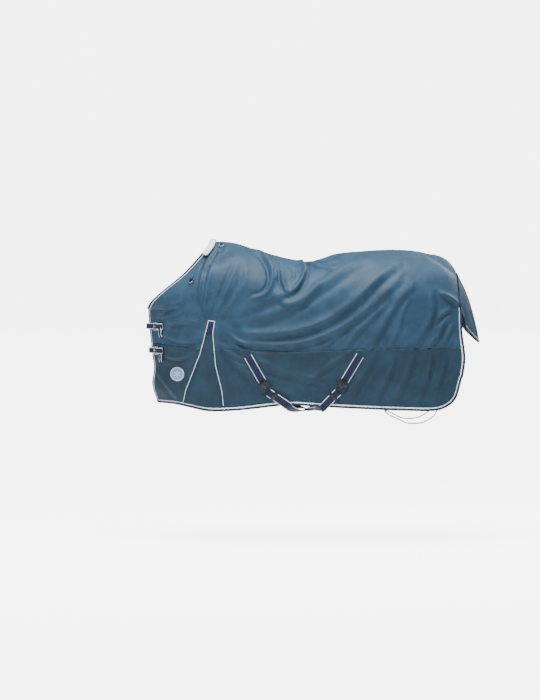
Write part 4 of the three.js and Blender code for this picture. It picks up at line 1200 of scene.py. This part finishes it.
def flap_lift(s, t):
    """The flap's own folds: a crease down its middle and softer ones beside it."""
    down = smooth(np.clip(t / 0.25, 0, 1))
    middle = 5 * np.exp(-((s / 0.1) ** 2)) - 3.5 * np.exp(-(((np.abs(s) - 0.22) / 0.1) ** 2))
    sides = 5 * np.exp(-(((np.abs(s) - 0.5 + 0.12 * t) / 0.11) ** 2))
    sides = sides * np.sin(np.pi * np.clip(t, 0, 1)) ** 0.5
    slant = 3.0 * np.sin(9 * s + 5 * t) * np.sin(np.pi * t)
    waves = 1.2 * np.sin(23 * s + 3 * np.sin(6 * t)) * t
    return (middle * (1 - 0.5 * t) + sides + slant + waves) * down * sizes().folds


def flap_bend(piece):
    """Bakes a piece's transform into its mesh."""
    hinge = flap_point(0.0, 0.0, 0.0) / 1000
    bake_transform(piece)


class RUG_OT_tail_flap(bpy.types.Operator):
    """Tail flap, hung from the arch of the rear edge, with its binding and piping"""

    bl_idname = "rug.tail_flap"
    bl_label = "Tail flap"

    def execute(self, context):
        s = np.linspace(-1, 1, 97)[None, :]
        t = np.linspace(0, 1, 65)[:, None]
        points = flap_point(s, t, FLAP["thick"] + flap_lift(s, t)) / 1000
        bm = lattice(points, outside=(tuple(points[40, 48]), (1.0, 0.0, 0.3)))
        piece = finished("tail_flap_cloth", bm, ["shell_nylon", "lining"], None, ["tail_flap"])
        thicken(piece, FLAP["thick"] / 1000)
        piece.modifiers["thickness"].material_offset = 1
        piece.modifiers["thickness"].material_offset_rim = 1
        flap_bend(piece)
        down = np.linspace(FLAP_TRIM_START, 1, 20)
        up = np.linspace(1, FLAP_TRIM_START, 20)
        edge = np.array(
            [(-1, k) for k in down]
            + [(k, 1) for k in np.linspace(-1, 1, 70)[1:]]
            + [(1, k) for k in up[1:]]
        )
        run = flap_point(edge[:, 0], edge[:, 1], FLAP["thick"] / 2 + flap_lift(edge[:, 0], edge[:, 1]))
        normals = np.tile([1.0, 0.0, 0.0], (len(run), 1))
        trims = {
            "binding_tail_flap_tape": (binding_section(PIPING * 0.5), "binding", ["binding_tail_flap"]),
            "piping_tail_flap_cord": (disc_section(PIPING * 0.42, 8, (PIPING * 0.2, 0.8)), "piping", []),
        }
        for name, (section, finish, nodes) in trims.items():
            rings = swept(run, normals, section, sign=downward(run, normals))
            trim = finished(name, lattice(rings, closed=True), [finish], None, nodes)
            flap_bend(trim)
        return {"FINISHED"}


# ---------------------------------------------------------------- straps


# Each surcingle's sewn top, its hook and where its belly strap passes the hem, in shares of the
# back's length and the drop.
SURCINGLES = {
    "front": {"top": (0.124, 0.68), "hook": (0.184, 0.835), "hem": 0.256},
    "rear": {"top": (0.587, 0.675), "hook": (0.523, 0.832), "hem": 0.457},
}
SURCINGLE_WIDTH = 45
BREAST_STRAP_WIDTH = 33
# Thicknesses, clearances and heights over the cloth's inside face, in millimetres.
STRAP = 2.5
LYING_GAP = 0.75
STAND_OFF = 9.1
BELLY_SAG = 60
CROSS_GAP = 12
UPPER_LIFT = ON_SHELL + LYING_GAP + STRAP / 2
BELLY_LIFT = SHELL_OUT + STAND_OFF + STRAP / 2
# How much lower than its solid a piece on the draped cloth lies, to meet the folds under it.
SUNK = 1
PLATE_GAP = 2
PLATE = 26
BELLY_START = 2 * PLATE_GAP + 2 * PLATE + SURCINGLE_WIDTH * 0.32
# The box and cross sewn in a surcingle's top end: its inset from the edges and its far end.
BOX_INSET, BOX_END = 5, 45


def strap_ends(place):
    """A surcingle's top, its hook and the way from one to the other, in x and z."""
    top = np.array([place["top"][0] * BACK_LENGTH, -place["top"][1] * DROP_DEPTH])
    hook = np.array([place["hook"][0] * BACK_LENGTH, -place["hook"][1] * DROP_DEPTH])
    return top, hook, (hook - top) / np.linalg.norm(hook - top)


def strap_piece(name, points, normals, width, node=None, spacing=12):
    """A strap of webbing along a run, with white threads at its edges."""
    more, turned = refined(np.asarray(points, float), np.asarray(normals, float), spacing)
    section, marks = webbing_section(width, STRAP)
    bm = lattice(swept(more, turned, section), closed=True, marks=marks)
    finished(name, bm, ["webbing", "selvedge"], "rug", [node] if node else [])


def side_drop(side, place, start, cells):
    """The belly strap down one side, from a distance below the hook to well under the hem."""
    _, hook, run = strap_ends(place)
    first = hook + run * start
    low_x = place["hem"] * BACK_LENGTH
    low = np.array([low_x, hem_share(low_x / BACK_LENGTH) * DROP_DEPTH + BINDING_WIDTH])
    stops = [mix(first, low, t) for t in np.linspace(0, 1, cells + 1)]
    points = [placed(side, p[0], p[1], BELLY_LIFT) for p in stops]
    faces = [facing(*place_at(p[0], p[1]), side) for p in stops]
    step = points[-1] - points[-2]
    step *= (EDGE_TRIM + SURCINGLE_WIDTH * 0.7) / np.linalg.norm(step)
    return points + [points[-1] + step], faces + [faces[-1]]


def belly_run(near_place, far_place, rise):
    """A belly strap from its hook, under the belly and up the off side to the other surcingle."""
    near, near_faces = side_drop(NEAR, near_place, BELLY_START, 3)
    far, far_faces = side_drop(OFF, far_place, PLATE_GAP, 4)
    far, far_faces = far[::-1], far_faces[::-1]
    cross_x = (SURCINGLES["front"]["hem"] + SURCINGLES["rear"]["hem"]) / 2
    cross_z = hem_share(cross_x) * DROP_DEPTH - BELLY_SAG
    under, under_faces = [], []
    for t in np.linspace(0.1, 0.9, 9):
        point = mix(near[-1], far[0], t)
        point[2] = mix(point[2], cross_z + rise, math.sin(math.pi * t) ** 0.7)
        tilt = math.copysign(abs(2 * t - 1) ** 0.55, t - 0.5) * math.pi * 0.45
        under.append(point)
        under_faces.append(np.array([0, math.sin(tilt), -math.cos(tilt)]))
    return near + under + far, near_faces + under_faces + far_faces


class RUG_OT_surcingles(bpy.types.Operator):
    """Surcingle straps: sewn down each side, hooked on the near side, crossed under the belly"""

    bl_idname = "rug.surcingles"
    bl_label = "Surcingles"

    def execute(self, context):
        half = SURCINGLE_WIDTH / 2 - BOX_INSET
        near_low, near_high = (BOX_INSET, -half), (BOX_INSET, half)
        far_low, far_high = (BOX_END, -half), (BOX_END, half)
        box = [near_low, near_high, far_high, far_low, near_low, far_high, far_low, near_high]
        runs = [(end, name, *strap_ends(place)) for end, place in SURCINGLES.items() for name in SIDES]
        for end, name, top, hook, _ in runs:
            x, z = np.array([mix(top, hook, t) for t in np.linspace(0, 1, 13)]).T
            points, normals = on_folds(SIDES[name], x, z, UPPER_LIFT - SUNK)
            node = f"surcingle_upper_{end}_{name}"
            strap_piece(f"{node}_webbing", points, normals, SURCINGLE_WIDTH, node)
        for end, name, top, _, run in runs:
            across = np.array([-run[1], run[0]])
            path = np.array([top + run * a + across * b for a, b in box])
            dense = np.concatenate([
                np.linspace(path[k], path[k + 1], 12)[(1 if k else 0):] for k in range(len(path) - 1)
            ])
            sewn = on_folds(SIDES[name], dense[:, 0], dense[:, 1], UPPER_LIFT + STRAP / 2 - SUNK)
            stitched(
                f"surcingle_stitches_{end}_{name}", [sewn], 4.2, 2.6, 1.1, rise=0.1, finish="webbing_thread",
            )
        front, rear = SURCINGLES["front"], SURCINGLES["rear"]
        belly_runs = {"front": belly_run(front, rear, 0), "rear": belly_run(rear, front, CROSS_GAP + STRAP)}
        for end, run in belly_runs.items():
            node = f"surcingle_belly_{end}"
            strap_piece(f"{node}_webbing", *run, SURCINGLE_WIDTH, node)
        for end in SURCINGLES:
            for part in ("hook", "eye", "slide"):
                softened(f"surcingle_{part}_{end}", 0.0007, ["hook_steel"])
        return {"FINISHED"}


# A buckle's wire and its width, and how high the strap's loop over the bar stands on its tab, in
# millimetres.
WIRE = 4
BUCKLE = 36
LOOP = WIRE / math.sqrt(2) + 0.5 + 2
BAR_LIFT = ON_SHELL + 1.5 + LOOP
# Each buckle's v on the chest edge, and the x of its bar in shares of the back's length.
BUCKLES = {"upper": (0.512, -0.262), "lower": (0.672, -0.2615)}
# The x and z at which each strap's loose tail starts, its width, and the step between its points.
LOOSE_TAILS = {"upper": (-313, -457), "lower": (-312, -596)}
TAIL_WIDTH = 24
TAIL_STEP = 7


def breast_run(v, x_share):
    """A breast strap from its tail behind the buckle, through it and round the chest to the off side."""
    x = x_share * BACK_LENGTH + BUCKLE / 2
    z = shape(0.03, v)[2]
    origin, _, up, normal = frame_on(NEAR, x, z, BAR_LIFT, -1, 0)
    under = -2 - STRAP / 2 - 1
    profile = [
        (46, -1), (30, 3.5), (14, LOOP + STRAP), (2, LOOP + STRAP), (-8, 4.5), (-20, -2.5),
        (-26, under), (-BUCKLE - 4, under),
    ]
    points = [origin + up * a + normal * b for a, b in profile]
    faces = [normal] * len(profile)
    centre = shape(0.0, v)
    for k in (-0.6, 0.6):
        points.append(np.array([centre[0] - EDGE_TRIM - STAND_OFF * 0.7, k * CHEST_EDGE_HALF, centre[2]]))
        face = np.array([-1, k * 0.8, 0])
        faces.append(face / np.linalg.norm(face))
    for u in np.linspace(0.012, 0.1, 6):
        points.append(shape(u, v) + outward(u, v) * (STAND_OFF + STRAP))
        faces.append(outward(u, v))
    return points, faces


class RUG_OT_breast_straps(bpy.types.Operator):
    """Breast straps with their buckles, tongues and tabs"""

    bl_idname = "rug.breast_straps"
    bl_label = "Breast straps"

    def execute(self, context):
        for name, (v, x_share) in BUCKLES.items():
            node = f"breast_strap_{name}"
            strap_piece(f"{node}_webbing", *breast_run(v, x_share), BREAST_STRAP_WIDTH, node, spacing=6)
            for part in ("buckle_frame", "buckle_tongue"):
                softened(f"{part}_{name}", 0.0007, ["steel"])
            softened(f"buckle_tab_{name}", 0.0006, ["webbing"])
            tail_x, tail_z = LOOSE_TAILS[name]
            steps = range(8)
            x, z = np.array([(tail_x + 1.5 * math.sin(k), tail_z - TAIL_STEP * k) for k in steps]).T
            points, normals = on_folds(NEAR, x, z, BAR_LIFT + LOOP + STRAP)
            # The tail falls towards the cloth on its way down
            points = points - normals * np.linspace(0, 7, len(steps))[:, None]
            strap_piece(f"{node}_tail", points, normals, TAIL_WIDTH, spacing=5)
        return {"FINISHED"}


class RUG_OT_rings(bpy.types.Operator):
    """D-rings at the neck and withers, and the rings and anchors that hold the leg cords"""

    bl_idname = "rug.rings"
    bl_label = "Rings and tabs"

    def execute(self, context):
        rings = ("ring_neck_left", "ring_neck_right", "ring_withers", "leg_ring_left", "leg_ring_right")
        tabs = (
            "ring_tab_neck_left", "ring_tab_neck_right", "ring_tab_withers", "leg_ring_tab_left",
            "leg_ring_tab_right", "leg_anchor_left", "leg_anchor_right",
        )
        for node in rings:
            softened(node, 0.0011, ["steel"], 3)
        for node in tabs:
            softened(node, 0.0006, ["webbing"])
        return {"FINISHED"}


# ---------------------------------------------------------------- pad, badge, leg cords


# The pad's width and the share of it by which its middle lies inside the neck edge, half the width
# and height of its wool, how high its middle stands and how far curls may stand proud, in
# millimetres, and the number of its sides.
FLEECE = {
    "width": 38, "inset": 0.16, "half_width": 18.2, "half_height": 7.2, "middle": 8, "proud": 9, "sides": 40,
}
FLEECE_LIFT = ON_SHELL + LYING_GAP - TRIM_MIDDLE + FLEECE["middle"]


class RUG_OT_fleece(bpy.types.Operator):
    """Fleece pad over the withers: a thick strip of curled wool folded over the neck edge"""

    bl_idname = "rug.fleece"
    bl_label = "Fleece pad"

    def execute(self, context):
        lowest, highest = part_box("fleece_pad")
        lows, highs = np.array(lowest) * 1000, np.array(highest) * 1000
        half = np.linspace(0.004, FLEECE_SHARE + 0.01, 28)
        rings = []
        for side, run in ((OFF, half[::-1]), (NEAR, half)):
            for v in run:
                near = [shape(0.0, v + d) + outward(0.0, v + d) * TRIM_MIDDLE for d in (-0.004, 0.004)]
                along = near[1] - near[0]
                along /= np.linalg.norm(along)
                normal = outward(0.0, v)
                normal -= along * np.dot(normal, along)
                normal /= np.linalg.norm(normal)
                out = np.cross(along, normal)
                if out[0] > 0:
                    out = -out
                edge = (near[0] + near[1]) / 2
                middle = edge + out * -FLEECE["width"] * FLEECE["inset"] + normal * FLEECE_LIFT
                ring = []
                for k in range(FLEECE["sides"]):
                    a = 2 * math.pi * k / FLEECE["sides"]
                    ca, sa = math.cos(a), math.sin(a)
                    wide = FLEECE["half_width"] * math.copysign(abs(ca) ** 0.6, ca)
                    tall = FLEECE["half_height"] * math.copysign(abs(sa) ** 0.7, sa)
                    point = middle + out * wide + normal * tall
                    curl = noise.noise(Vector(point) / 3.4) * 1.2 + noise.noise(Vector(point) / 9) * 0.9
                    point = point + (out * ca + normal * sa) * curl
                    point[1] *= side
                    ring.append(point)
                rings.append(ring)
        # The curls stand proud of the pad's solid by no more than wool may
        rings = np.clip(np.array(rings), lows - FLEECE["proud"], highs + FLEECE["proud"]) / 1000
        bm = lattice(rings, closed=True)
        piece = finished("fleece_pad_wool", bm, ["fleece"], "rug", ["fleece_pad"])
        return {"FINISHED"}


# The badge's place in shares of the back's length and the drop, and its diameter in millimetres.
BADGE = {"x": -0.168, "z": 0.794, "diameter": 78}
# The petals of its motif: how many, and half the length and half the width of one in millimetres.
PETALS, PETAL_HALF, PETAL_WIDE = 6, 11.5, 3.4


def badge_disc(radii, lifts, sides):
    """Rings of a round badge that follows the cloth, from its middle out, in metres."""
    turns = 2 * np.pi * np.arange(sides) / sides
    rings = []
    for radius, above in zip(radii, lifts):
        x = BADGE["x"] * BACK_LENGTH + radius * np.cos(turns)
        z = -BADGE["z"] * DROP_DEPTH + radius * np.sin(turns)
        points, _ = on_folds(NEAR, x, z, ON_SHELL - SUNK + above)
        rings.append(points)
    return np.array(rings) / 1000


class RUG_OT_badge(bpy.types.Operator):
    """Round woven badge on the near shoulder with a stitched rim and a plain motif"""

    bl_idname = "rug.badge"
    bl_label = "Badge"

    def execute(self, context):
        outer = BADGE["diameter"] / 2
        radii = [0.4, 8, 16, 24, 30, outer - 4.5, outer - 1, outer, outer, outer - 1.5]
        lifts = [2, 2, 2, 2, 2, 2, 2, 1.6, 0.6, 0.2]
        bm = lattice(badge_disc(radii, lifts, 64), closed=True)
        finished("badge_disc", bm, ["badge"], "rug", ["badge"])
        for name, radius, half in (("badge_rim", outer - 2, 1.9), ("badge_inner_rim", outer - 9, 0.9)):
            across = [radius + half * share for share in (-1, -0.5, 0.5, 1)]
            bm = lattice(badge_disc(across, [1.9, 2.9, 2.9, 1.9], 96), closed=False)
            finished(name, bm, ["badge_rim"], "rug")
        petals = []
        for k in range(PETALS):
            angle = 2 * math.pi / PETALS * (k + 0.5)
            turns = np.linspace(0, 2 * np.pi, 24, endpoint=False)
            rings = []
            for share, above in ((1.0, 1.9), (0.82, 2.9), (0.4, 3.1), (0.02, 3.1)):
                a = PETAL_HALF + PETAL_HALF * 0.82 * share * np.cos(turns)
                b = PETAL_WIDE * share * np.sin(turns) * np.sqrt(np.clip(a / (2 * PETAL_HALF), 0.05, 1))
                x = BADGE["x"] * BACK_LENGTH + a * math.cos(angle) - b * math.sin(angle)
                z = -BADGE["z"] * DROP_DEPTH + a * math.sin(angle) + b * math.cos(angle)
                rings.append(on_folds(NEAR, x, z, ON_SHELL - SUNK + above)[0] / 1000)
            petals.append(lattice(np.array(rings), closed=True))
        motif = bmesh.new()
        for petal in petals:
            mesh = bpy.data.meshes.new("petal")
            petal.to_mesh(mesh)
            petal.free()
            motif.from_mesh(mesh)
            bpy.data.meshes.remove(mesh)
        finished("badge_motif", motif, ["badge_rim"], "rug")
        return {"FINISHED"}


# Places along a leg cord: the share of the way from its anchor to its snap, and how far it hangs
# below the straight line between them, in millimetres.
LEG_ROUTE = [
    (0, 0), (0.007, 31), (0.01, 62), (0.11, 87), (0.24, 105), (0.39, 128), (0.513, 134), (0.68, 132),
    (0.83, 114), (0.937, 89), (0.987, 52), (1, 0),
]
# The cord's diameter, and its ends on the off side, under its anchor and at the foot of its snap, in
# metres.
LEG_CORD = 0.0065
LEG_START = np.array([0.914581, 0.307063, -0.846574])
LEG_END = np.array([1.212191, 0.272128, -0.843178])


def leg_route(name):
    """The leg cord's middle line, from the anchor to the foot of its snap, in metres."""
    start, end = (spot * [1, SIDES[name], 1] for spot in (LEG_START, LEG_END))
    return np.array([mix(start, end, share) - np.array([0, 0, fall / 1000]) for share, fall in LEG_ROUTE])


class RUG_OT_leg_cords(bpy.types.Operator):
    """Leg cords hanging inside the hem, each with its snap hook and sprung gate"""

    bl_idname = "rug.leg_cords"
    bl_label = "Leg cords"

    def execute(self, context):
        for name in SIDES:
            snap = softened(f"leg_snap_{name}", 0.0009, ["steel"])
            gate = softened(f"leg_snap_gate_{name}", 0.0005, ["steel"])
            points = leg_route(name)
            curve = bpy.data.curves.new(f"leg_cord_{name}_braid", "CURVE")
            curve.dimensions = "3D"
            curve.bevel_depth = LEG_CORD / 2
            curve.bevel_resolution = 4
            curve.use_fill_caps = True
            line = spline(points, np.linspace(0, 1, 34))
            path = curve.splines.new("POLY")
            path.points.add(len(line) - 1)
            for spot, point in zip(path.points, line):
                spot.co = (*point, 1)
            curve.materials.append(material_of("cord"))
            cord = bpy.data.objects.new(curve.name, curve)
            context.scene.collection.objects.link(cord)
            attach(cord, f"leg_cord_{name}")
            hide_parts(f"leg_cord_{name}")
        return {"FINISHED"}


# ---------------------------------------------------------------- the stage


# The floor's height, where the camera looks, the height that its view takes in, and how far off and
# how much higher it stands, in metres.
FLOOR_Z = -1.647
VIEW_MIDDLE = (0.286, -0.3, -0.574)
VIEW_HEIGHT = 3.85
CAMERA_DISTANCE = 16.0
CAMERA_RISE = 0.4
BACKGROUND = "#F7F8FA"
# Each soft light: where it hangs, where it points, its side in metres and its power in watts.
LIGHTS = {
    "overhead_light": ((0.2, -1.2, 3.6), (0.35, 0.0, -0.5), 3.0, 380),
    "front_light": ((-3.4, -4.0, 1.6), (0.2, -0.2, -0.5), 1.8, 90),
    "rear_light": ((3.6, 2.8, 2.4), (0.5, 0.0, -0.4), 2.0, 150),
}


def aimed(spot, target):
    """The turn of a lamp or camera that looks from one place to another."""
    return (target - spot).to_track_quat("-Z", "Y").to_euler()


class RUG_OT_stage(bpy.types.Operator):
    """Pale floor, soft lights from above and the camera beside the rug"""

    bl_idname = "rug.stage"
    bl_label = "Stage"

    def execute(self, context):
        scene = context.scene
        bm = bmesh.new()
        down = Matrix.Translation((0, 0, FLOOR_Z))
        bmesh.ops.create_grid(bm, x_segments=1, y_segments=1, size=60, matrix=down)
        mesh = bpy.data.meshes.new("studio_floor")
        bm.to_mesh(mesh)
        bm.free()
        material, tree, shader = start_material("paper_backdrop_matt")
        place = add_node(tree, "ShaderNodeTexCoord").outputs["Object"]
        cloud = add_node(tree, "ShaderNodeTexNoise", inputs={"Vector": place, "Scale": 3.0}).outputs["Fac"]
        paper = colour_between(tree, cloud, 0.2, 0.8, "#F1F1EF", "#F5F5F3")
        tree.links.new(paper, shader.inputs["Base Color"])
        shader.inputs["Roughness"].default_value = 0.9
        # Only the camera sees this glow, which keeps the paper as pale as the background
        ray = add_node(tree, "ShaderNodeLightPath").outputs["Is Camera Ray"]
        glow = add_node(tree, "ShaderNodeMath", {"operation": "MULTIPLY"}, {0: ray, 1: 5.0}).outputs[0]
        shader.inputs["Emission Color"].default_value = (*rgb(BACKGROUND), 1)
        tree.links.new(glow, shader.inputs["Emission Strength"])
        mesh.materials.append(material)
        floor = bpy.data.objects.new("studio_floor", mesh)
        scene.collection.objects.link(floor)
        world = bpy.data.worlds.new("studio_light")
        world.use_nodes = True
        tree = world.node_tree
        soft = tree.nodes["Background"]
        soft.inputs["Color"].default_value = (*rgb("#E3E8EF"), 1)
        soft.inputs["Strength"].default_value = 0.42
        pale = {"Color": (*rgb(BACKGROUND), 1), "Strength": 6.0}
        white = add_node(tree, "ShaderNodeBackground", inputs=pale)
        ray = add_node(tree, "ShaderNodeLightPath").outputs["Is Camera Ray"]
        shaders = {0: ray, 1: soft.outputs[0], 2: white.outputs[0]}
        both = add_node(tree, "ShaderNodeMixShader", inputs=shaders)
        tree.links.new(both.outputs[0], tree.nodes["World Output"].inputs["Surface"])
        scene.world = world
        for name, (spot, target, size, power) in LIGHTS.items():
            lamp = bpy.data.lights.new(name, "AREA")
            lamp.shape = "SQUARE"
            lamp.size = size
            lamp.energy = power
            light = bpy.data.objects.new(name, lamp)
            light.location = spot
            light.rotation_euler = aimed(Vector(spot), Vector(target))
            scene.collection.objects.link(light)
        sky = bpy.data.lights.new("ceiling_light", "SUN")
        sky.energy = 3.2
        sky.angle = math.radians(50)
        ceiling = bpy.data.objects.new("ceiling_light", sky)
        ceiling.rotation_euler = (math.radians(14), 0, 0)
        scene.collection.objects.link(ceiling)
        camera = bpy.data.cameras.new("side_camera")
        camera.lens = camera.sensor_width * CAMERA_DISTANCE / VIEW_HEIGHT
        camera.clip_end = 200
        eye = bpy.data.objects.new("side_camera", camera)
        target = Vector(VIEW_MIDDLE)
        spot = target + Vector((0, -CAMERA_DISTANCE, CAMERA_RISE))
        eye.location = spot
        eye.rotation_euler = aimed(spot, target)
        scene.collection.objects.link(eye)
        scene.camera = eye
        return {"FINISHED"}


# ---------------------------------------------------------------- panel and start


OPERATORS = (
    RUG_OT_stage, RUG_OT_leg_cords, RUG_OT_shell, RUG_OT_lining, RUG_OT_edges, RUG_OT_gussets,
    RUG_OT_stitching,
    RUG_OT_tail_flap, RUG_OT_surcingles, RUG_OT_breast_straps, RUG_OT_rings, RUG_OT_fleece, RUG_OT_badge,
)


class RUG_PT_panel(bpy.types.Panel):
    """Lists the rug's pieces, sizes and colours in the sidebar"""

    bl_idname = "RUG_PT_panel"
    bl_label = "Turnout rug"
    bl_space_type = "VIEW_3D"
    bl_region_type = "UI"
    bl_category = "Turnout rug"

    def draw(self, context):
        for group in (context.scene.rug_sizes, context.scene.rug_colours):
            for key in group.__annotations__:
                self.layout.prop(group, key)
        for operator in OPERATORS:
            self.layout.operator(operator.bl_idname)


CLASSES = (RugColours, RugSizes, *OPERATORS, RUG_PT_panel)


def register():
    for cls in CLASSES:
        bpy.utils.register_class(cls)
    bpy.types.Scene.rug_colours = PointerProperty(type=RugColours)
    bpy.types.Scene.rug_sizes = PointerProperty(type=RugSizes)


def unregister():
    del bpy.types.Scene.rug_sizes
    del bpy.types.Scene.rug_colours
    for cls in reversed(CLASSES):
        bpy.utils.unregister_class(cls)


def main():
    register()
    for operator in OPERATORS:
        group, name = operator.bl_idname.split(".")
        getattr(getattr(bpy.ops, group), name)()
    bpy.context.view_layer.update()


if __name__ == "__main__":
    main()
